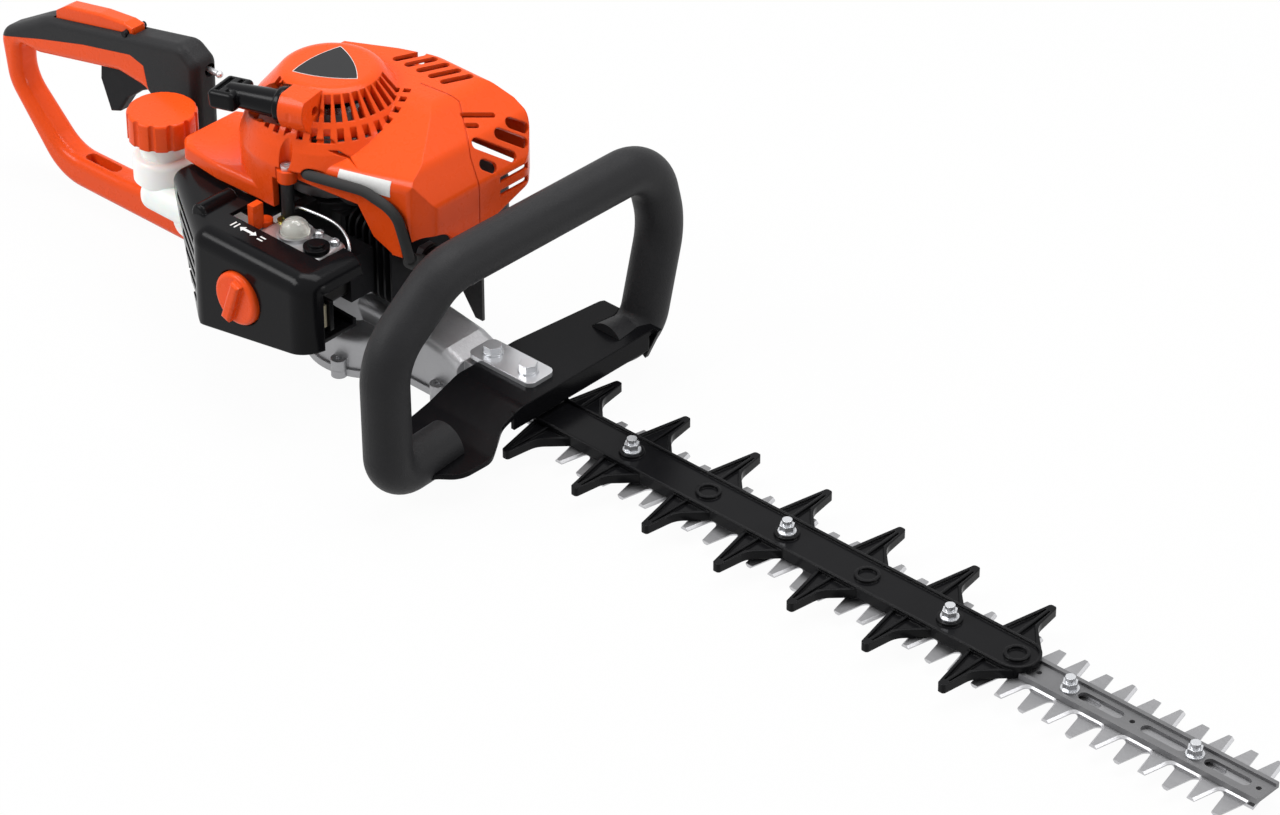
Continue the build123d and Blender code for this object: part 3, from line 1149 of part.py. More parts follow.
# Air cleaner and carburettor
def air_form(inset):
    low, top = AIR_Z0 + inset, AIR_Z1 - inset
    body = extrude(Plane.XY.offset(low) * drawn_in(AIR_PLAN, AIR_PLAN_R, inset), top - low)
    rear_x, front_x = AIR_PLAN[1][0], AIR_PLAN[0][0]
    end_x = front_x + 1
    body -= side(((rear_x, low - 1), (rear_x, low), (end_x, low + AIR_BELLY), (end_x, low - 1)), -200, 0)
    tail_x, tail_z = AIR_PLAN[2][0], AIR_TAIL_Z + inset
    tail = ((tail_x - 9, low - 1), (rear_x, low - 1), (rear_x, low), (tail_x, tail_z), (tail_x - 9, tail_z))
    body -= side(tail, -200, 0)
    roof = [e for e in body.edges() if e.center().Z > top - 0.1 and e.center().Y < AIR_PLAN[4][1] - inset - 5]
    return fillet(roof, AIR_ROUND_IN if inset else AIR_ROUND)


def air_cleaner_cover():
    shell = air_form(0) - air_form(WALL)
    back = max(y for x, y in AIR_PLAN)
    open_y = AIR_PLAN[4][1]
    shell -= plan(AIR_OPEN, AIR_Z0 + AIR_BELLY + 4, AIR_Z1 - WALL - AIR_ROUND) & block(
        -200, 200, open_y - 14, back + 1, 0, 300)
    shell += fillet(bar_y(RIDGE_X, RIDGE_Y[0], RIDGE_Y[1], AIR_Z1 - 2, RIDGE_R).edges(), 2) - air_form(WALL)
    x0, x1, y, z = NOTCH
    shell -= block(x0, x1, y, back + 10, z, AIR_Z1 + 1)
    end_x = AIR_PLAN[0][0]
    mouth_y, mouth_z0, mouth_z1 = AIR_MOUTH
    shell -= block(end_x - 3 * WALL, end_x + 1, mouth_y, back + 10, mouth_z0, mouth_z1)
    kx, kz = KNOB_AT
    near = AIR_PLAN[0][1]
    shell += bar_y(kx, near + WALL / 2, near + KNOB_SOCKET, kz, KNOB_R + 3)
    shell -= bar_y(kx, near - 1, near + KNOB_SOCKET - WALL, kz, KNOB_R + 0.8)
    shell -= bar_y(kx, near, near + KNOB_SOCKET + 1, kz, KNOB_STEM_R + RUN)
    for n in range(AIR_SLOTS):
        z0 = AIR_Z0 + 14 + n * AIR_SLOT_STEP
        length = AIR_SLOT_LENGTH * (n + 2) / (AIR_SLOTS + 1)
        shell -= AIR_SLOT_FACE * Pos(-length / 2, 0, z0) * Box(length, 12, AIR_SLOT_STEP * 0.55)
    return shell


def air_cleaner_case():
    x0, x1 = AIR_PLAN[1][0] + WALL + SEAT, AIR_PLAN[0][0] - WALL - SEAT
    z1 = NOTCH[3] - SEAT
    z0 = AIR_Z0 + AIR_BELLY + WALL + AIR_ROUND_IN
    y0, y1 = CASE_PLATE_Y - CASE_PLATE_T, CASE_PLATE_Y
    plate = block(x0, x1, y0, y1, z0, z1)
    kx, kz = KNOB_AT
    plate += bar_y(kx, AIR_PLAN[0][1] + KNOB_SOCKET + KNOB_STEM_TAIL, y1, kz, KNOB_STEM_R + 3)
    plate -= bar_y(kx, AIR_PLAN[0][1] + KNOB_SOCKET - 1, y1 - CASE_PLATE_T, kz, KNOB_STEM_R + RUN)
    port_x = CYLINDER_FOOT_X + 15
    plate += bar_y(port_x, y1, CARB_Y[0], CYLINDER_Z - 4, PORT_R + 2)
    return plate - bar_y(port_x, y0, CARB_Y[0], CYLINDER_Z - 4, PORT_R)


def air_filter():
    x0, x1 = AIR_PLAN[1][0] + WALL + 3, AIR_PLAN[0][0] - WALL - 3
    z1 = NOTCH[3] - 3
    z0 = AIR_Z0 + AIR_BELLY + WALL + AIR_ROUND_IN + 2
    y1 = CASE_PLATE_Y - CASE_PLATE_T
    pad = block(x0, x1, y1 - FILTER_T, y1, z0, z1)
    kx, kz = KNOB_AT
    return pad - bar_y(kx, y1 - FILTER_T, y1, kz, KNOB_STEM_R + 4)


def cover_knob():
    kx, kz = KNOB_AT
    near = AIR_PLAN[0][1]
    back = near + KNOB_SOCKET - WALL - SEAT
    knob = bar_y(kx, back - KNOB_T, back, kz, KNOB_R)
    knob = fillet(knob.edges().sort_by(Axis.Y)[0], 3)
    rib = Pos(kx, back - KNOB_T - 1, kz) * Rot(0, KNOB_TILT, 0) * Box(KNOB_BAR, KNOB_T - 1, 2 * KNOB_R - 5)
    knob += fillet(rib.edges().filter_by(Axis.Y, reverse=True), 2)
    return knob + bar_y(kx, back, near + KNOB_SOCKET + KNOB_STEM_TAIL + 5, kz, KNOB_STEM_R)


def carburettor():
    port_x = CYLINDER_FOOT_X + 15
    body = block(CARB_X[0], CARB_X[1], CARB_Y[0], CARB_Y[1], CARB_Z[0], CARB_Z[1])
    body = fillet(body.edges().filter_by(Axis.Y), 4)
    rim = CARB_Z[1] + BULB_RIM_T
    body += disc(*BULB_AT, CARB_Z[1], rim, BULB_RIM_R)
    body -= disc(*BULB_AT, rim - BULB_SET - BULB_TRAVEL - GAP, rim, BULB_R + GAP)
    body -= bar_y(port_x, CARB_Y[0], CARB_Y[1], CYLINDER_Z - 2, PORT_R)
    body -= disc(*THROTTLE_AT, CARB_Z[1] - 12, CARB_Z[1], SHAFT_R + RUN)
    body += disc(*CHOKE_AT, CARB_Z[0] + 10, CARB_Z[1] - 4, 5) + block(
        CHOKE_AT[0], CARB_X[0] + 1, CHOKE_AT[1] - 5, CHOKE_AT[1] + 5, CARB_Z[0] + 10, CARB_Z[1] - 4)
    return body - disc(*CHOKE_AT, CARB_Z[1] - 16, CARB_Z[1] - 4, SHAFT_R + RUN)


def primer_bulb():
    rim = CARB_Z[1] + BULB_RIM_T
    bulb = Pos(*BULB_AT, rim) * Sphere(BULB_R) & disc(*BULB_AT, rim, rim + BULB_R, BULB_R)
    return bulb + disc(*BULB_AT, rim - BULB_SET, rim, BULB_R)


def choke_lever():
    x, y = CHOKE_AT
    z0 = CARB_Z[1] - 4 + SEAT
    wide, deep, tall = CHOKE_SIZE
    lever = disc(x, y, z0, z0 + 3, 5) + disc(x, y, z0 - 12, z0, SHAFT_R)
    return lever + block(x - wide / 2, x + wide / 2, y - deep - 4, y - 3, z0, z0 + tall)


def throttle_lever():
    x, y = THROTTLE_AT
    z0 = CARB_Z[1] + SEAT
    lever = disc(x, y, z0, z0 + 3, THROTTLE_R) + disc(x, y, z0 - 12, z0, SHAFT_R)
    return lever + disc(x, y, z0 + 3, z0 + 5, THROTTLE_R - 3)


# Fuel tank
def tank_form(inset):
    near = block(TANK_X[0] + inset, TANK_X[1] - inset, TANK_Y[0] + inset, TANK_Y[1] - inset,
                 TANK_Z[0] + inset, TANK_Z[1] - inset)
    near = fillet(near.edges(), TANK_ROUND - inset)
    rear = block(TANK_REAR_X + inset, TANK_X[1] - inset, TANK_Y[1] - TANK_LAP + inset, TANK_REAR_Y - inset,
                 FOOT_Z[1] + inset, TANK_Z[1] - inset)
    rear = fillet([e for e in rear.edges() if e.center().Y > TANK_Y[1]], TANK_ROUND - inset)
    return near + rear


def fuel_tank():
    x, y = NECK_AT
    tank = tank_form(0) + disc(x, y, TANK_Z[1] - 2, FILLER_TOP, FILLER_R)
    step = disc(x, y, TANK_Z[1] - 2, TANK_Z[1] + NECK_STEP_H, NECK_STEP_R)
    tank += fillet(step.edges().sort_by(Axis.Z)[-1], 4)
    tank -= tank_form(WALL)
    return tank - disc(x, y, TANK_Z[1] - 2 * WALL, FILLER_TOP, FILLER_R - FILLER_WALL)


def fuel_cap():
    x, y = NECK_AT
    z1 = CAP_TOP
    cap = fillet(disc(x, y, z1 - CAP_H, z1, CAP_R).edges().sort_by(Axis.Z)[-1], 2)
    for n in range(CAP_FLUTES):
        a = 2 * pi * n / CAP_FLUTES
        cap -= disc(x + (CAP_R + 1) * cos(a), y + (CAP_R + 1) * sin(a), z1 - CAP_H, z1, CAP_FLUTE_R)
    return cap - disc(x, y, z1 - CAP_H, z1 - CAP_WALL, FILLER_R + GAP)


def cap_gasket():
    x, y = NECK_AT
    z1 = CAP_TOP - CAP_WALL - SEAT
    return ring(x, y, FILLER_TOP + SEAT, z1, FILLER_R - FILLER_WALL - 1, FILLER_R - 0.5)


# Rear handle
def handle_form():
    half = HANDLE_WIDTH / 2
    loop = side(HANDLE_OUTER, -half, half, HANDLE_OUTER_R)
    loop -= side(HANDLE_INNER, -half - 1, half + 1, HANDLE_INNER_R)
    rims = [e for e in loop.edges() if abs(abs(e.center().Y) - half) < 0.1]
    loop = fillet(rims, HANDLE_EDGE)
    front_x = HANDLE_OUTER[4][0]
    loop += block(front_x - 6, FOOT_X, -half, half, FOOT_Z[0], FOOT_Z[1])
    slot = Pos(ARM_SLOT_X, 0, HANDLE_OUTER[5][1]) * SlotOverall(ARM_SLOT_LENGTH, ARM_SLOT_WIDTH)
    loop -= extrude(slot, HANDLE_INNER[0][1] - HANDLE_OUTER[5][1])
    pocket = TRIGGER_WIDTH / 2 + GAP
    loop -= block(TRIGGER[1][0] - 6, TRIGGER[6][0] + 6, -pocket, pocket, TRIGGER[5][1] - 5,
                  TRIGGER_PIVOT[1] + 9)
    lock = LOCKOUT_WIDTH / 2 + GAP
    loop -= block(LOCKOUT[0][0] - 2, LOCKOUT[5][0] + 2.5, -lock, lock, LOCKOUT[0][1] - 11, LOCKOUT[0][1] + 50)
    for (x, z), reach in ((TRIGGER_PIVOT, pocket), (LOCKOUT_PIVOT, lock)):
        loop -= bar_y(x, -reach - PIN_SEAT, reach + PIN_SEAT, z, PIVOT_R)
    return loop - switch_body() - bar_x(switch_face() - 1, front_x + 6, *SWITCH_AT, TOGGLE_R + 2.6)


def grip_region():
    return side(GRIP_SPLIT, -HANDLE_WIDTH, HANDLE_WIDTH)


def rear_handle():
    return handle_form() - grip_region()


def grip_cover():
    return handle_form() & grip_region()


def throttle_trigger():
    half = TRIGGER_WIDTH / 2
    lever = side(TRIGGER, -half, half)
    tip = [e for e in lever.edges() if abs(abs(e.center().Y) - half) < 0.1 and e.center().Z < 100]
    lever = fillet(tip, 2)
    return lever - bar_y(TRIGGER_PIVOT[0], -half, half, TRIGGER_PIVOT[1], PIVOT_R + RUN)


def trigger_lockout():
    half = LOCKOUT_WIDTH / 2
    lever = side(LOCKOUT, -half, half)
    rims = [e for e in lever.edges() if abs(abs(e.center().Y) - half) < 0.1 and e.center().Z > 136]
    lever = fillet(rims, 2)
    return lever - bar_y(LOCKOUT_PIVOT[0], -half, half, LOCKOUT_PIVOT[1], PIVOT_R + RUN)


def lever_pins():
    pins = []
    for (x, z), width in ((TRIGGER_PIVOT, TRIGGER_WIDTH), (LOCKOUT_PIVOT, LOCKOUT_WIDTH)):
        reach = width / 2 + GAP + PIN_SEAT
        pins.append(bar_y(x, -reach, reach, z, PIVOT_R))
    return group(pins)


def switch_face():
    return HANDLE_OUTER[3][0] - 5


def switch_body():
    long, wide, tall = SWITCH_SIZE
    y, z = SWITCH_AT
    face = switch_face()
    return block(face - long, face, y - wide / 2, y + wide / 2, z - tall / 2, z + tall / 2)


def stop_switch():
    y, z = SWITCH_AT
    face = switch_face()
    switch = switch_body() - block(face - 8, face, y - 3, y + 3, z - 5, z + 5)
    return switch - bar_y(face - TOGGLE_PIVOT, y - TOGGLE_PIN / 2, y + TOGGLE_PIN / 2, z, TOGGLE_PIN_R + RUN)


def stop_toggle():
    y, z = SWITCH_AT
    face = switch_face()
    stick = bar_x(face - 4, face + TOGGLE_LENGTH, y, z, TOGGLE_R)
    stick += bar_y(face - TOGGLE_PIVOT, y - TOGGLE_PIN / 2 + RUN, y + TOGGLE_PIN / 2 - RUN, z, TOGGLE_PIN_R)
    return stick + Pos(face + TOGGLE_LENGTH, y, z) * Sphere(TOGGLE_R + 0.5)


# Front handle
def front_handle():
    points = [(LOOP_X, y, z) for y, z in LOOP_PATH]
    path = FilletPolyline(*points, radius=LOOP_PATH_R)
    first = Vector(*points[1]) - Vector(*points[0])
    return sweep(Plane(origin=points[0], z_dir=first) * Circle(LOOP_R), path)


def hand_shield():
    upper = tuple((y, z + SHIELD_T) for y, z in SHIELD_EDGE[::-1])
    x0, x1 = (pick(x for x, y in SHIELD_PLAN) for pick in (min, max))
    plate = front(SHIELD_EDGE + upper, x0, x1, SHIELD_EDGE_R + SHIELD_EDGE_R[::-1])
    plate &= plan(SHIELD_PLAN, 0, SHIELD_Z + SHIELD_T, SHIELD_PLAN_R)
    apron_x = SHIELD_PLAN[5][0]
    low, top = SHIELD_Z - APRON_H, SHIELD_Z + SHIELD_T / 2
    plate += block(apron_x - APRON_T, apron_x, APRON_Y[0], APRON_Y[1], low, top)
    far_y = SHIELD_EDGE[-1][0]
    plate += side(SHIELD_TAIL, far_y - SHIELD_T, far_y)
    for x in HANDLE_BOLT_X:
        plate -= disc(x, 0, SHIELD_Z, BRACKET_Z, HANDLE_BOLT_R)
    points = [(LOOP_X, y, z) for y, z in LOOP_PATH]
    path = FilletPolyline(*points, radius=LOOP_PATH_R)
    first = Vector(*points[1]) - Vector(*points[0])
    return plate - sweep(Plane(origin=points[0], z_dir=first) * Circle(LOOP_R), path)


def handle_bracket():
    half = BRACKET_WIDTH / 2
    plate = plan(((BRACKET_X[0], -half), (BRACKET_X[1], -half), (BRACKET_X[1], half), (BRACKET_X[0], half)),
                 BRACKET_Z, BRACKET_Z + BRACKET_T, 5)
    for x in HANDLE_BOLT_X:
        plate -= disc(x, 0, BRACKET_Z, BRACKET_Z + BRACKET_T, HANDLE_BOLT_R)
    return plate


def handle_bolts():
    bolts = []
    for x in HANDLE_BOLT_X:
        z0 = BRACKET_Z + BRACKET_T
        bolt = disc(x, 0, BAR_Z + 0.5, z0, HANDLE_BOLT_R) + disc(x, 0, z0, z0 + WASHER_T, WASHER_R + 1)
        bolts.append(bolt + hexagon(x, 0, z0 + WASHER_T, z0 + WASHER_T + NUT_T, BOLT_HEAD_AF))
    return group(bolts)


NODES = (
    gear_case, gear_case_cover, gear_cover_screws, cam_bearings, drum_bearing, crankcase_lower,
    crankcase_upper, crank_bearings, cylinder, intake_insulator, spark_plug, plug_cap, ignition_lead,
    ignition_coil, muffler, muffler_guard, engine_cover, engine_cover_screws, recoil_spring, fuel_tank,
    carburettor, air_cleaner_case, air_filter, air_cleaner_cover, rear_handle, grip_cover, lever_pins,
    stop_switch, front_handle, hand_shield, handle_bracket, handle_bolts, guide_bar, blade_guard,
    guard_bolts, bar_bolts, crankshaft, flywheel, clutch_shoes, clutch_spring, piston, piston_pin,
    connecting_rod, crank_pin, clutch_drum, cam_gear, upper_blade, lower_blade, starter_pulley,
    starter_rope, starter_grip, throttle_trigger, trigger_lockout, stop_toggle, choke_lever,
    throttle_lever, primer_bulb, cover_knob, fuel_cap, cap_gasket,
)

os.makedirs("parts", exist_ok=True)
for make in NODES:
    export_step(make(), f"parts/{make.__name__}.step")
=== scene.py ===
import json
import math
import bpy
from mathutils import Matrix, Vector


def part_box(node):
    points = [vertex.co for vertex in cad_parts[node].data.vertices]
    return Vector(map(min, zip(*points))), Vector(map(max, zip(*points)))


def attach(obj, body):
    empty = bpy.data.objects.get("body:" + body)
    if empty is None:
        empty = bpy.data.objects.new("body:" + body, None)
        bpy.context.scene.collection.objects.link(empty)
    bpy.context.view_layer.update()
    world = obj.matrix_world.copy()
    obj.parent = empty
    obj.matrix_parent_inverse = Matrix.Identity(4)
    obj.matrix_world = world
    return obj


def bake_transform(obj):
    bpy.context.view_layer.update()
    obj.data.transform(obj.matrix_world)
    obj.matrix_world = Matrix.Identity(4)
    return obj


bl_info = {
    "name": "Petrol hedge trimmer",
    "version": (1, 0, 0),
    "blender": (4, 5, 0),
    "location": "3D View > Sidebar > Hedge trimmer",
    "description": "Finishes, small fittings and studio stage for the packed hedge trimmer",
    "category": "Object",
}

import bmesh
import bpy
from bpy.props import FloatProperty, FloatVectorProperty, PointerProperty
from mathutils import Matrix, Vector
from mathutils.bvhtree import BVHTree

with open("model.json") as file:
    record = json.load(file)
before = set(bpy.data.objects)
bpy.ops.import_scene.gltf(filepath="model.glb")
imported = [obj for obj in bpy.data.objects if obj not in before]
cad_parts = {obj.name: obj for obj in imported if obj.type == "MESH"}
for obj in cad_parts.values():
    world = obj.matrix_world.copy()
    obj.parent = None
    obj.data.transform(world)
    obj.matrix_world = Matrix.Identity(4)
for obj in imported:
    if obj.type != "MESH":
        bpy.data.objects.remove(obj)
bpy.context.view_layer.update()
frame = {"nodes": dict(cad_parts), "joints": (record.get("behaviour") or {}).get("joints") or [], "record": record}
MM = 0.001


# Sizes and colours


def colour(name, default, description):
    return FloatVectorProperty(name=name, description=description, default=default, subtype="COLOR",
                               size=3, min=0.0, max=1.0)


def length(name, default, description):
    return FloatProperty(name=name, description=description, default=default, unit="LENGTH", min=0.0)


class TrimmerColours(bpy.types.PropertyGroup):
    orange: colour("Orange", (0.77, 0.074, 0.008), "Moulded covers, rear handle, cap and knob")
    black: colour("Black", (0.0045, 0.0045, 0.0052), "Black mouldings")
    grip: colour("Grip", (0.011, 0.011, 0.012), "Grained black of the two handles")
    casting: colour("Casting", (0.34, 0.34, 0.35), "Cast aluminium of the gear case")
    machined: colour("Machined alloy", (0.52, 0.52, 0.53), "Machined aluminium")
    # The crankcase colour is painted shade: the bare casting is made near black because it lies in shadow in the
    # gap by the carburettor.
    crankcase: colour("Crankcase", (0.035, 0.035, 0.037), "Dark casting of the upper crankcase")
    blade: colour("Blade steel", (0.36, 0.36, 0.37), "Ground steel of blades and bar")
    steel: colour("Turned steel", (0.46, 0.46, 0.47), "Shafts, pins and bearings")
    zinc: colour("Zinc", (0.60, 0.61, 0.63), "Plated bolts, screws, bracket and wire")
    yellow_zinc: colour("Yellow zinc", (0.42, 0.38, 0.10), "Plated washer of the choke")
    tank: colour("Tank", (0.92, 0.92, 0.89), "Milky plastic of the fuel tank")
    label: colour("Label", (0.72, 0.72, 0.71), "Blank label, choke mark and edge of the badge")
    badge: colour("Badge", (0.008, 0.008, 0.009), "Bare badge on the dome")


class TrimmerSizes(bpy.types.PropertyGroup):
    badge: length("Badge", 22.5 * MM, "Corner of the dome badge from its middle")
    badge_edge: length("Badge edge", 0.5 * MM, "Width of the bright edge round the badge")
    label_length: length("Label length", 36.0 * MM, "Blank label along the near wall")
    label_height: length("Label height", 7.1 * MM, "Rear end of the blank label")
    label_flare: length("Label flare", 2.6 * MM, "How much taller the label's front end is")
    rod: length("Throttle rod", 0.9 * MM, "Radius of the throttle rod's wire")
    screw_head: length("Screw head", 3.0 * MM, "Radius of the carburettor screws' heads")
    washer: length("Washer", 4.6 * MM, "Radius of the choke's washer")
    rope: length("Rope", 1.5 * MM, "Radius of the starter rope")


class TrimmerStage(bpy.types.PropertyGroup):
    lens: FloatProperty(name="Lens", description="Camera lens in millimetres", default=141.1, min=20.0)
    azimuth: FloatProperty(name="Azimuth", description="Camera direction round the machine",
                           default=math.radians(42.78), subtype="ANGLE")
    elevation: FloatProperty(name="Elevation", description="Camera height above the horizon",
                             default=math.radians(34.06), subtype="ANGLE")
    distance: length("Distance", 2.9241, "Camera to the point that it looks at")
    target: FloatVectorProperty(name="Target", description="Point that the camera looks at",
                                default=(0.2297, 0.0202, 0.0319), subtype="TRANSLATION", size=3)
    floor: length("Floor", 12.0, "Side of the floor")
    fill: FloatProperty(name="Fill", description="Strength of the light from all round",
                        default=0.36, min=0.0)


# Shader maths


class Value:
    """A shader socket that Python arithmetic works on: each operator adds a Math node."""

    def __init__(self, shading, socket):
        self.shading = shading
        self.socket = socket

    def _math(self, operation, first, second):
        return self.shading.node("ShaderNodeMath", {"operation": operation}, {0: first, 1: second})

    def __add__(self, other):
        return self._math("ADD", self, other)

    __radd__ = __add__

    def __sub__(self, other):
        return self._math("SUBTRACT", self, other)

    def __rsub__(self, other):
        return self._math("SUBTRACT", other, self)

    def __mul__(self, other):
        return self._math("MULTIPLY", self, other)

    __rmul__ = __mul__

    def rise(self, low, high):
        """0 below low, 1 above high, smooth between."""
        return self.shading.node("ShaderNodeMapRange", {"interpolation_type": "SMOOTHSTEP"},
                                 {"Value": self, "From Min": low, "From Max": high})


class Shading:
    """A node tree and the shader that it starts with. All its other nodes come from one method."""

    def __init__(self, tree, kind, constants):
        self.tree = tree
        self.shader = next(n for n in tree.nodes if n.type == kind)
        for socket, value in constants.items():
            self.shader.inputs[socket].default_value = value

    def node(self, kind, settings, sockets, out=0):
        """Adds a node with its settings, then the values or links of its sockets, and gives one output."""
        made = self.tree.nodes.new(kind)
        for key, value in settings.items():
            setattr(made, key, value)
        for key, value in sockets.items():
            if isinstance(value, Value):
                self.tree.links.new(value.socket, made.inputs[key])
            else:
                made.inputs[key].default_value = value
        return Value(self, made.outputs[out])

    def show_background(self, share, white):
        """White for the rays that show the background: to the camera, in metal and through glass."""
        camera, gloss, glass = (self.node("ShaderNodeLightPath", {}, {}, f"Is {kind} Ray")
                                for kind in ("Camera", "Glossy", "Transmission"))
        plain = Value(self, self.shader.outputs[0])
        seen = self.node("ShaderNodeMixShader", {}, {0: (camera + gloss + glass) * share, 1: plain, 2: white})
        self.tree.links.new(seen.socket, self.tree.get_output_node("ALL").inputs["Surface"])


class Finish(Shading):
    """A material: what is the same all over is set on its shader, and what varies is linked to it."""

    def __init__(self, name, constants):
        self.material = bpy.data.materials.new(name)
        self.material.use_nodes = True
        super().__init__(self.material.node_tree, "BSDF_PRINCIPLED", constants)
        self.place = self.node("ShaderNodeTexCoord", {}, {}, "Object")

    def feed(self, socket, value):
        self.tree.links.new(value.socket, self.shader.inputs[socket])

    def noise(self, scale, detail=3.0, stretch=(1.0, 1.0, 1.0)):
        place = self.node("ShaderNodeMapping", {}, {"Vector": self.place, "Scale": stretch})
        return self.node("ShaderNodeTexNoise", {}, {"Vector": place, "Scale": scale, "Detail": detail,
                                                    "Roughness": 0.55})

    def cells(self, scale):
        return self.node("ShaderNodeTexVoronoi", {}, {"Vector": self.place, "Scale": scale}, "Distance")

    def along_z(self, vector):
        return self.node("ShaderNodeSeparateXYZ", {}, {"Vector": vector}, "Z")

    def blend(self, amount, first, second):
        """Two colours mixed by a value."""
        return self.node("ShaderNodeMix", {"data_type": "RGBA"},
                         {"Factor": amount, 6: as_colour(first), 7: as_colour(second)}, 2)

    def tint(self, mask, tone, low, high):
        """Base colour that runs from low times the tone to high times it."""
        self.feed("Base Color", self.blend(mask, shade(tone, low), shade(tone, high)))

    def bump(self, height, strength, depth, edge=0.0):
        """Fine relief, on edges that look rounded by edge."""
        sockets = {"Height": height, "Strength": strength, "Distance": depth}
        if edge:
            sockets["Normal"] = self.node("ShaderNodeBevel", {"samples": 4}, {"Radius": edge})
        self.feed("Normal", self.node("ShaderNodeBump", {}, sockets))


def as_colour(value):
    return value if isinstance(value, Value) else (*value, 1.0)


def shade(tone, factor):
    return tuple(min(1.0, channel * factor) for channel in tone)


# Finishes


def orange_moulding(c):
    f = Finish("orange_moulding", {"Specular IOR Level": 0.12, "Coat Weight": 0.08, "Coat Roughness": 0.06})
    f.tint(f.noise(22.0, detail=2.0), c.orange, low=0.93, high=1.05)
    f.feed("Roughness", f.noise(160.0) * 0.12 + 0.22)
    f.bump(f.noise(1500.0, detail=2.0), strength=0.03, depth=0.2 * MM, edge=1.2 * MM)


def black_moulding(c, name, gloss, rough):
    f = Finish(name, {"Specular IOR Level": gloss})
    f.tint(f.noise(30.0, detail=2.0), c.black, low=0.8, high=1.3)
    f.feed("Roughness", f.noise(210.0) * 0.10 + rough)
    f.bump(f.noise(1300.0, detail=2.0), strength=0.04, depth=0.3 * MM, edge=1.2 * MM)


def satin_black(c):
    f = Finish("satin_black", {"Specular IOR Level": 0.10})
    f.tint(f.noise(40.0, detail=2.0), c.black, low=1.2, high=1.9)
    f.feed("Roughness", f.noise(300.0) * 0.16 + 0.42)
    f.bump(f.noise(1600.0, detail=2.0), strength=0.22, depth=0.4 * MM)


def grained_grip(c):
    f = Finish("grained_grip", {"Specular IOR Level": 0.18})
    grain = f.cells(1250.0)
    soft = f.noise(60.0)
    f.tint(soft, c.grip, low=0.8, high=1.35)
    f.feed("Roughness", grain * 0.12 + soft * 0.1 + 0.40)
    f.bump(grain + f.noise(700.0, detail=2.0) * 0.5, strength=0.35, depth=0.4 * MM)


def cast_metal(name, tone, rough):
    f = Finish(name, {"Metallic": 0.9})
    grit = f.noise(520.0, detail=4.0)
    cloud = f.noise(26.0)
    f.tint(cloud * 0.6 + grit * 0.4, tone, low=0.72, high=1.22)
    f.feed("Roughness", grit * 0.2 + rough)
    f.bump(grit, strength=0.30, depth=0.5 * MM, edge=1.0 * MM)


def carburettor_alloy():
    """Bright machined top over a body darkened towards the bottom with painted shade."""
    f = Finish("carburettor_alloy", {"Metallic": 0.9})
    dark_below, bright_above = 93.0 * MM, 101.0 * MM
    grit = f.noise(700.0)
    # Painted shade: below 93 mm the body runs to near black, like the shadowed mouth of the air cleaner.
    painted_shade = 1.0 - f.along_z(f.place).rise(dark_below, bright_above)
    bright = f.blend(grit, (0.44, 0.44, 0.45), (0.56, 0.56, 0.57))
    f.feed("Base Color", f.blend(painted_shade, bright, (0.030, 0.029, 0.028)))
    f.feed("Roughness", grit * 0.12 + 0.26)
    f.bump(grit, strength=0.12, depth=0.3 * MM)


def ground_steel(c, name, flat, flank):
    """Rolled steel whose level faces and ground flanks have tones of their own."""
    f = Finish(name, {"Metallic": 0.85})
    streak = f.noise(90.0, detail=4.0, stretch=(1.0, 26.0, 1.0))
    cloud = f.noise(34.0)
    level = f.along_z(f.node("ShaderNodeNewGeometry", {}, {}, "Normal")).rise(low=0.80, high=0.97)
    rolled = f.blend(cloud * 0.6 + streak * 0.4, shade(c.blade, flat * 0.8), shade(c.blade, flat * 1.2))
    f.feed("Base Color", f.blend(level, shade(c.blade, flank), rolled))
    f.feed("Roughness", streak * 0.16 + cloud * 0.10 + 0.32)
    f.bump(streak, strength=0.12, depth=0.2 * MM)


def turned_steel(name, tone, rough, metal=1.0):
    f = Finish(name, {"Metallic": metal})
    streak = f.noise(1500.0, detail=2.0, stretch=(1.0, 1.0, 3.0))
    f.tint(streak, tone, low=0.94, high=1.05)
    f.feed("Roughness", streak * 0.06 + rough)
    f.bump(streak, strength=0.02, depth=0.1 * MM, edge=0.4 * MM)


def milky_plastic(c):
    f = Finish("milky_plastic", {"Subsurface Weight": 0.25, "Subsurface Scale": 8.0 * MM})
    f.tint(f.noise(36.0), c.tank, low=0.94, high=1.06)
    f.feed("Roughness", f.noise(260.0) * 0.12 + 0.30)
    f.bump(f.noise(900.0, detail=2.0), strength=0.12, depth=0.4 * MM)


def clear_bulb():
    f = Finish("clear_bulb", {"Transmission Weight": 0.75, "IOR": 1.42})
    cloud = f.noise(140.0, detail=2.0)
    f.feed("Base Color", f.blend(cloud, (0.86, 0.87, 0.80), (0.95, 0.95, 0.90)))
    f.feed("Roughness", cloud * 0.12 + 0.08)


def black_rubber():
    f = Finish("black_rubber", {})
    cloud = f.noise(120.0)
    f.feed("Base Color", f.blend(cloud, (0.007, 0.007, 0.007), (0.016, 0.016, 0.017)))
    f.feed("Roughness", cloud * 0.2 + 0.36)
    f.bump(f.noise(1100.0, detail=2.0), strength=0.18, depth=0.4 * MM)


def felt_pad():
    f = Finish("felt_pad", {"Sheen Weight": 0.3})
    fibre = f.noise(900.0, detail=5.0)
    f.feed("Base Color", f.blend(fibre, (0.30, 0.26, 0.16), (0.56, 0.50, 0.36)))
    f.feed("Roughness", fibre * 0.1 + 0.85)
    f.bump(fibre, strength=0.6, depth=1.0 * MM)


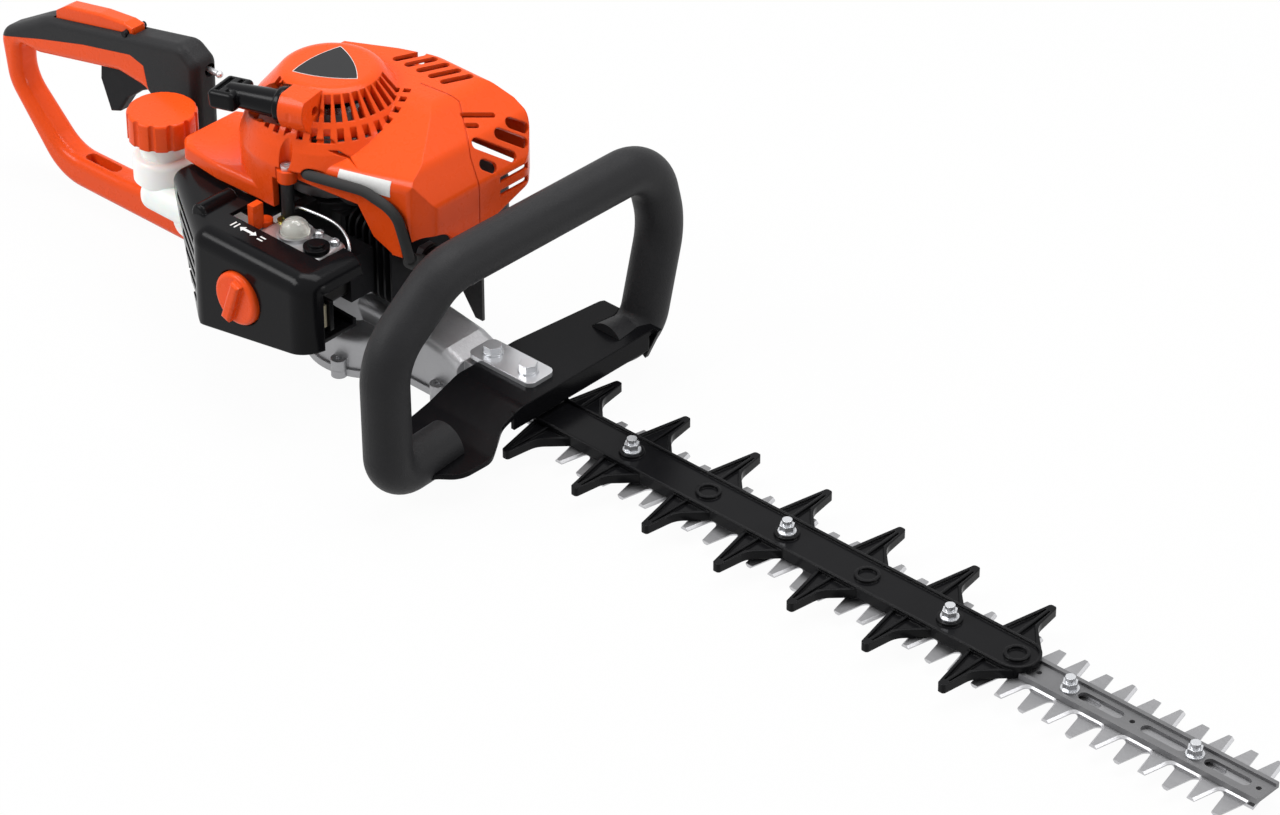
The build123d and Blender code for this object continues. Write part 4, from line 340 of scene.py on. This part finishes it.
def braided_rope():
    f = Finish("braided_rope", {"Sheen Weight": 0.2})
    twist = f.node("ShaderNodeTexWave", {"bands_direction": "DIAGONAL"},
                   {"Vector": f.place, "Scale": 420.0, "Distortion": 1.5})
    f.feed("Base Color", f.blend(twist, (0.42, 0.42, 0.38), (0.72, 0.71, 0.66)))
    f.feed("Roughness", twist * 0.1 + 0.72)
    f.bump(twist, strength=0.5, depth=0.6 * MM)


def printed(name, tone, rough, gloss):
    f = Finish(name, {"Specular IOR Level": gloss})
    speck = f.noise(700.0)
    f.tint(speck, tone, low=0.9, high=1.08)
    f.feed("Roughness", speck * 0.12 + rough)
    f.bump(speck, strength=0.06, depth=0.2 * MM)


def heat_paint():
    f = Finish("heat_paint", {"Metallic": 0.3})
    grit = f.noise(420.0, detail=4.0)
    f.feed("Base Color", f.blend(f.noise(40.0), (0.022, 0.022, 0.023), (0.055, 0.052, 0.050)))
    f.feed("Roughness", grit * 0.25 + 0.45)
    f.bump(grit, strength=0.3, depth=0.5 * MM)


SLOT_FINISH = {
    "orange_plastic": "orange_moulding", "black_plastic": "black_moulding", "grip_black": "grained_grip",
    "matte_black": "satin_black", "cast_aluminium": "gear_casting", "machined_aluminium": "machined_alloy",
    "blade_steel": "ground_steel", "steel": "turned_steel", "zinc_steel": "bright_zinc",
    "tank_plastic": "milky_plastic", "clear_plastic": "clear_bulb", "felt": "felt_pad",
    "black_rubber": "black_rubber", "rope": "braided_rope", "muffler_steel": "heat_paint",
}
# Solids that look unlike the rest of their slot
OWN_FINISH = {
    "crankcase_upper": "dark_casting", "guide_bar": "bar_steel", "blade_guard": "comb_black",
    "hand_shield": "shield_black", "lever_pins": "satin_black", "carburettor": "carburettor_alloy",
}


class TRIMMER_OT_finishes(bpy.types.Operator):
    """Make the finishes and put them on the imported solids"""

    bl_idname = "trimmer.finishes"
    bl_label = "Finishes"

    def execute(self, context):
        c = context.scene.trimmer_colours
        orange_moulding(c)
        black_moulding(c, "black_moulding", gloss=0.09, rough=0.12)
        black_moulding(c, "comb_black", gloss=0.09, rough=0.16)
        black_moulding(c, "shield_black", gloss=0.06, rough=0.20)
        satin_black(c)
        grained_grip(c)
        cast_metal("gear_casting", c.casting, rough=0.34)
        cast_metal("machined_alloy", c.machined, rough=0.22)
        # Upper crankcase: cast metal whose tone is darkened as painted shade.
        cast_metal("dark_casting", c.crankcase, rough=0.42)
        carburettor_alloy()
        ground_steel(c, "ground_steel", flat=0.65, flank=1.5)
        ground_steel(c, "bar_steel", flat=0.38, flank=0.55)
        turned_steel("turned_steel", c.steel, rough=0.24)
        turned_steel("bright_zinc", c.zinc, rough=0.22, metal=0.70)
        turned_steel("yellow_zinc", c.yellow_zinc, rough=0.3)
        milky_plastic(c)
        clear_bulb()
        felt_pad()
        black_rubber()
        braided_rope()
        heat_paint()
        printed("pale_print", c.label, rough=0.38, gloss=0.3)
        printed("badge_black", c.badge, rough=0.16, gloss=0.25)
        for subpart in frame["record"]["subparts"]:
            node = subpart["node"]
            finish = OWN_FINISH.get(node, SLOT_FINISH[subpart["material_slot"]])
            skin = frame["nodes"][node].data.materials
            skin.clear()
            skin.append(bpy.data.materials[finish])
        return {"FINISHED"}


# Small fittings, with sizes and places in millimetres


UP = (0.0, 0.0, 1.0)
FORWARD = (1.0, 0.0, 0.0)
SHARP_EDGE = math.radians(40.0)


def shape(name, bm, finish, smooth=True):
    """Makes an object of a bmesh."""
    mesh = bpy.data.meshes.new(name)
    bmesh.ops.recalc_face_normals(bm, faces=bm.faces)
    bm.to_mesh(mesh)
    bm.free()
    obj = bpy.data.objects.new(name, mesh)
    bpy.context.scene.collection.objects.link(obj)
    mesh.materials.append(bpy.data.materials[finish])
    if smooth:
        mesh.shade_smooth()
        mesh.set_sharp_from_angle(angle=SHARP_EDGE)
    return obj


def piece(name, bm, body, finish, smooth=True):
    """Makes an object of a bmesh and puts it on its body."""
    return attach(shape(name, bm, finish, smooth), body)


def frame_at(origin, x_dir, normal):
    """Matrix at a point, whose X runs along x_dir and whose Z is the normal."""
    z = Vector(normal).normalized()
    x = (Vector(x_dir) - Vector(x_dir).dot(z) * z).normalized()
    matrix = Matrix((x, z.cross(x), z)).transposed().to_4x4()
    matrix.translation = Vector(origin) * MM
    return matrix


def circle(radius, count):
    """Points evenly round a circle."""
    turns = [math.tau * n / count for n in range(count)]
    return [(radius * math.cos(turn), radius * math.sin(turn)) for turn in turns]


def add_loop(bm, outline, place, height):
    """Vertices along an outline on the plane of place, raised by height."""
    return [bm.verts.new(place @ (Vector((x, y, height)) * MM)) for x, y in outline]


def join_loops(bm, loops):
    """Faces between each loop of vertices and the next, which has as many."""
    for near, far in zip(loops, loops[1:]):
        for n in range(len(near)):
            m = (n + 1) % len(near)
            bm.faces.new((near[n], near[m], far[m], far[n]))


def add_slab(bm, outline, place, thickness, edge=0.0):
    """A flat slab on the plane of place, with its upper rim rounded by edge."""
    face = bm.faces.new(add_loop(bm, outline, place, 0.0))
    raised = bmesh.ops.extrude_face_region(bm, geom=[face])["geom"]
    top = [v for v in raised if isinstance(v, bmesh.types.BMVert)]
    lift = place.to_3x3() @ Vector((0.0, 0.0, thickness * MM))
    bmesh.ops.translate(bm, vec=lift, verts=top)
    if edge:
        rim = [e for e in bm.edges if e.verts[0] in top and e.verts[1] in top]
        bmesh.ops.bevel(bm, geom=rim, offset=edge * MM, segments=2, affect="EDGES")


def add_band(bm, outer, inner, place, thickness):
    """A flat band between two outlines of as many points, raised by thickness."""
    low_out, low_in, high_out, high_in = (add_loop(bm, outline, place, height)
                                          for height in (0.0, thickness) for outline in (outer, inner))
    join_loops(bm, [low_out, high_out, high_in, low_in, low_out])


def bowed_triangle(radius, bow, steps):
    """Three corners joined by sides that bow outwards."""
    corners = [Vector(corner) for corner in circle(radius, 3)]
    points = []
    for a, b in zip(corners, corners[1:] + corners[:1]):
        out = ((a + b) / 2).normalized()
        for k in range(steps):
            t = k / steps
            points.append(a.lerp(b, t) + out * bow * 4.0 * t * (1.0 - t))
    return [tuple(p) for p in points]


class TRIMMER_OT_badge(bpy.types.Operator):
    """Bare black badge on the crown of the dome, with its fine bright edge"""

    bl_idname = "trimmer.badge"
    bl_label = "Dome badge"

    def execute(self, context):
        s = context.scene.trimmer_sizes
        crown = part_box("engine_cover")[1].z / MM
        sunk, thickness, rounding, edge_thickness = 0.1, 0.5, 0.2, 0.45
        place = frame_at((0.0, -0.5, crown - sunk), FORWARD, UP)
        radius = s.badge / MM
        bow, steps = radius * 0.12, 14
        inner = bowed_triangle(radius, bow, steps)
        outer = bowed_triangle(radius + s.badge_edge / MM, bow, steps)
        bm = bmesh.new()
        add_slab(bm, inner, place, thickness, rounding)
        piece("dome_badge", bm, "machine", "badge_black")
        bm = bmesh.new()
        add_band(bm, outer, inner, place, edge_thickness)
        piece("dome_badge_edge", bm, "machine", "pale_print")
        return {"FINISHED"}


def close_sheet(bm, under, over, width):
    """Joins two grids of points, of the same width, into one thin closed sheet."""
    height = len(over) // width
    for row in range(height - 1):
        for col in range(width - 1):
            n = row * width + col
            corners = (n, n + 1, n + width + 1, n + width)
            bm.faces.new([over[k] for k in corners])
            bm.faces.new([under[k] for k in corners[::-1]])
    last = (height - 1) * width
    rim = list(range(width - 1))
    rim += range(width - 1, last + width - 1, width)
    rim += range(last + width - 1, last, -1)
    rim += range(last, 0, -width)
    join_loops(bm, [[under[k] for k in rim], [over[k] for k in rim]])


class TRIMMER_OT_wall_label(bpy.types.Operator):
    """Blank pale plate that follows the near wall of the engine cover"""

    bl_idname = "trimmer.wall_label"
    bl_label = "Wall label"

    def execute(self, context):
        s = context.scene.trimmer_sizes
        mesh = frame["nodes"]["engine_cover"].data
        wall = BVHTree.FromPolygons([v.co for v in mesh.vertices], [p.vertices for p in mesh.polygons])
        run = Vector((82.0, 20.0, 0.0)).normalized()
        out = Vector((run.y, -run.x, 0.0))
        rear_end = Vector((10.0, -49.0, 136.5)) + run * 36.0
        sunk, proud, stand_off, steps = -0.1, 0.3, 30.0, 12
        bm = bmesh.new()
        under, over = [], []
        for row in range(steps + 1):
            for col in range(steps + 1):
                height = (s.label_height + s.label_flare * col / steps) / MM
                along = run * s.label_length / MM * col / steps
                spot = rear_end + along + Vector(UP) * height * row / steps
                hit, normal, _, _ = wall.ray_cast((spot + out * stand_off) * MM, -out)
                under.append(bm.verts.new(hit + normal * sunk * MM))
                over.append(bm.verts.new(hit + normal * proud * MM))
        close_sheet(bm, under, over, steps + 1)
        piece("wall_label", bm, "machine", "pale_print")
        return {"FINISHED"}


def double_arrow(reach, head, half_head, half_shaft):
    """Outline of an arrow with a head at each end, from the origin along X."""
    upper = [(head, half_head), (head, half_shaft), (reach - head, half_shaft), (reach - head, half_head)]
    lower = [(x, -y) for x, y in upper[::-1]]
    return [(0.0, 0.0), *upper, (reach, 0.0), *lower]


class TRIMMER_OT_choke_mark(bpy.types.Operator):
    """White double arrow between two pairs of bars, printed on the air cleaner beside the choke lever"""

    bl_idname = "trimmer.choke_mark"
    bl_label = "Choke mark"

    def execute(self, context):
        rear_tip, thickness = (3.0, -81.0, 106.0), 0.12
        place = frame_at(rear_tip, FORWARD, UP)
        upright_bars = [(x, -2.6, x + 1.0, 2.6) for x in (-6.0, -3.0)]
        level_bars = [(16.5, y, 21.0, y + 1.0) for y in (-2.4, 0.4)]
        bm = bmesh.new()
        add_slab(bm, double_arrow(reach=14.0, head=3.4, half_head=2.6, half_shaft=1.0), place, thickness)
        for x0, y0, x1, y1 in upright_bars + level_bars:
            add_slab(bm, ((x0, y0), (x1, y0), (x1, y1), (x0, y1)), place, thickness)
        piece("choke_mark", bm, "machine", "pale_print", smooth=False)
        return {"FINISHED"}


def wire_curve(name, points, radius, body, finish):
    """A round wire along a smooth line that the points guide."""
    data = bpy.data.curves.new(name, "CURVE")
    data.dimensions = "3D"
    data.bevel_depth = radius * MM
    data.bevel_resolution = 4
    data.resolution_u = 10
    data.use_fill_caps = True
    line = data.splines.new("NURBS")
    line.points.add(len(points) - 1)
    for point, place in zip(line.points, points):
        point.co = (*(c * MM for c in place), 1.0)
    line.order_u = 3
    line.use_endpoint_u = True
    data.materials.append(bpy.data.materials[finish])
    obj = bpy.data.objects.new(name, data)
    bpy.context.scene.collection.objects.link(obj)
    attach(obj, body)


class TRIMMER_OT_throttle_rod(bpy.types.Operator):
    """Bent bright wire that runs past the throttle lever"""

    bl_idname = "trimmer.throttle_rod"
    bl_label = "Throttle rod"

    def execute(self, context):
        route = ((14, -48, 107.5), (15, -47.5, 110.5), (24, -46, 111), (42, -44, 110.5),
                 (54, -46, 110), (66, -52, 107), (66, -54, 97), (59, -55, 96))
        radius = context.scene.trimmer_sizes.rod / MM
        wire_curve("throttle_rod", route, radius, "machine", "bright_zinc")
        return {"FINISHED"}


def cross_head(bm, place, radius, height):
    """Pan head with a cross recess."""
    sides = 24
    recess, waist, floor_height = 0.36 * radius, 0.208 * radius, 0.55 * height
    profile = ((radius, 0.0), (radius, 0.45), (radius * 0.92, 0.75), (radius * 0.6, 0.95), (recess, 1.0))
    loops = [add_loop(bm, circle(r, sides), place, h * height) for r, h in profile]
    cross = []
    for n in range(sides):
        turn = math.tau * n / sides
        fold = abs(math.sin(2.0 * turn))
        r = recess * (1.0 - fold) + waist * fold
        cross.append((r * math.cos(turn), r * math.sin(turn)))
    loops.append(add_loop(bm, cross, place, floor_height))
    join_loops(bm, loops)
    bm.faces.new(loops[0][::-1])
    bm.faces.new(loops[-1])


class TRIMMER_OT_carburettor_screws(bpy.types.Operator):
    """Two cross-head screws and a yellow washer on the carburettor's top"""

    bl_idname = "trimmer.carburettor_screws"
    bl_label = "Carburettor screws"

    def execute(self, context):
        s = context.scene.trimmer_sizes
        screws, head_height = ((41.5, -53.5, 104.0), (55.0, -54.0, 104.0)), 3.4
        bm = bmesh.new()
        for seat in screws:
            cross_head(bm, frame_at(seat, FORWARD, UP), s.screw_head / MM, head_height)
        piece("carburettor_screws", bm, "machine", "bright_zinc")
        washer_seat, sides, bore_share, thickness = (15.0, -56.0, 104.0), 28, 0.45, 1.2
        outer = circle(s.washer / MM, sides)
        inner = circle(s.washer / MM * bore_share, sides)
        bm = bmesh.new()
        add_band(bm, outer, inner, frame_at(washer_seat, FORWARD, UP), thickness)
        piece("choke_washer", bm, "machine", "yellow_zinc")
        return {"FINISHED"}


class TRIMMER_OT_rope_run(bpy.types.Operator):
    """Rope between its guide and the starter grip"""

    bl_idname = "trimmer.rope_run"
    bl_label = "Rope run"

    def execute(self, context):
        joint = next(j for j in frame["joints"] if j["name"] == "starter_pull")
        pull = Vector(joint["axis"]).normalized()
        mouth = Vector(joint["pos_m"])
        in_guide, in_grip = 12.0, 3.0
        sides, rings = 16, 160
        start, end = mouth - pull * in_guide * MM, mouth + pull * in_grip * MM
        place = frame_at(start / MM, UP, pull)
        section = circle(context.scene.trimmer_sizes.rope / MM, sides)
        bm = bmesh.new()
        loops = [add_loop(bm, section, place, (in_guide + in_grip) * n / rings) for n in range(rings + 1)]
        join_loops(bm, loops)
        bm.faces.new(loops[0][::-1])
        bm.faces.new(loops[-1])
        rope = shape("starter_rope_run", bm, "braided_rope")
        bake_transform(rope)
        return {"FINISHED"}


# Stage, with places in metres


WHITE = (1.0, 1.0, 1.0, 1.0)
LIGHT_AIM = Vector((0.15, 0.0, 0.05))
# Name, place, width and height, and power of each softbox
SOFTBOXES = (
    ("key", (-1.2, -1.65, 1.8), (1.5, 0.9), 44.0),
    ("overhead", (0.0, 0.5, 2.3), (2.4, 1.2), 52.0),
    ("right", (2.4, 0.9, 0.9), (0.7, 1.0), 14.0),
)


def softbox(name, place, size, watts):
    """A soft lamp that points at the machine."""
    lamp = bpy.data.lights.new(name, "AREA")
    lamp.shape = "RECTANGLE"
    lamp.size, lamp.size_y = size
    lamp.energy = watts
    obj = bpy.data.objects.new(name, lamp)
    obj.location = place
    obj.rotation_euler = (LIGHT_AIM - Vector(place)).to_track_quat("-Z", "Y").to_euler()
    bpy.context.scene.collection.objects.link(obj)


def pale_floor():
    """Floor that is almost white where it shows as background, and keeps a trace of the shadow."""
    f = Finish("pale_floor", {"Base Color": (0.62, 0.62, 0.62, 1.0), "Roughness": 0.9})
    f.show_background(0.96, f.node("ShaderNodeEmission", {}, {"Color": WHITE, "Strength": 1.0}))
    return f.material


def studio_world(fill):
    """White behind the machine, and a plain level of light from all round."""
    world = bpy.data.worlds.new("studio")
    world.use_nodes = True
    bpy.context.scene.world = world
    w = Shading(world.node_tree, "BACKGROUND", {"Color": WHITE, "Strength": fill})
    w.show_background(1.0, w.node("ShaderNodeBackground", {}, {"Color": WHITE, "Strength": 1.0}))


class TRIMMER_OT_stage(bpy.types.Operator):
    """Floor, soft studio light and the camera"""

    bl_idname = "trimmer.stage"
    bl_label = "Stage"

    def execute(self, context):
        scene = context.scene
        s = scene.trimmer_stage
        scene.view_settings.view_transform = "Standard"
        half, drop = s.floor / 2, -0.5 * MM
        corners = [(-half, -half, drop), (half, -half, drop), (half, half, drop), (-half, half, drop)]
        mesh = bpy.data.meshes.new("floor")
        mesh.from_pydata(corners, [], [(0, 1, 2, 3)])
        mesh.materials.append(pale_floor())
        floor = bpy.data.objects.new("floor", mesh)
        scene.collection.objects.link(floor)
        studio_world(s.fill)
        for lamp in SOFTBOXES:
            softbox(*lamp)
        level = math.cos(s.elevation)
        back = Vector((math.sin(s.azimuth) * level, -math.cos(s.azimuth) * level, math.sin(s.elevation)))
        data = bpy.data.cameras.new("camera")
        data.lens = s.lens
        data.sensor_width = 36.0
        camera = bpy.data.objects.new("camera", data)
        camera.location = Vector(s.target) + back * s.distance
        camera.rotation_euler = (-back).to_track_quat("-Z", "Y").to_euler()
        scene.collection.objects.link(camera)
        scene.camera = camera
        return {"FINISHED"}


# Panel and registration


OPERATORS = (
    TRIMMER_OT_stage, TRIMMER_OT_finishes, TRIMMER_OT_badge, TRIMMER_OT_wall_label, TRIMMER_OT_choke_mark,
    TRIMMER_OT_throttle_rod, TRIMMER_OT_carburettor_screws, TRIMMER_OT_rope_run,
)
GROUPS = {"trimmer_colours": TrimmerColours, "trimmer_sizes": TrimmerSizes, "trimmer_stage": TrimmerStage}


class TRIMMER_PT_panel(bpy.types.Panel):
    """Buttons, sizes and colours of the hedge trimmer"""

    bl_idname = "TRIMMER_PT_panel"
    bl_label = "Hedge trimmer"
    bl_space_type = "VIEW_3D"
    bl_region_type = "UI"
    bl_category = "Hedge trimmer"

    def draw(self, context):
        for operator in OPERATORS:
            self.layout.operator(operator.bl_idname)
        for group in (getattr(context.scene, key) for key in GROUPS):
            for key in group.bl_rna.properties.keys():
                if key not in {"rna_type", "name"}:
                    self.layout.prop(group, key)


def register():
    for cls in (*GROUPS.values(), *OPERATORS, TRIMMER_PT_panel):
        bpy.utils.register_class(cls)
    for key, cls in GROUPS.items():
        setattr(bpy.types.Scene, key, PointerProperty(type=cls))


def unregister():
    for key in GROUPS:
        delattr(bpy.types.Scene, key)
    for cls in (TRIMMER_PT_panel, *OPERATORS[::-1], *GROUPS.values()):
        bpy.utils.unregister_class(cls)


def main():
    register()
    for operator in OPERATORS:
        group, name = operator.bl_idname.split(".")
        getattr(getattr(bpy.ops, group), name)()


if __name__ == "__main__":
    main()
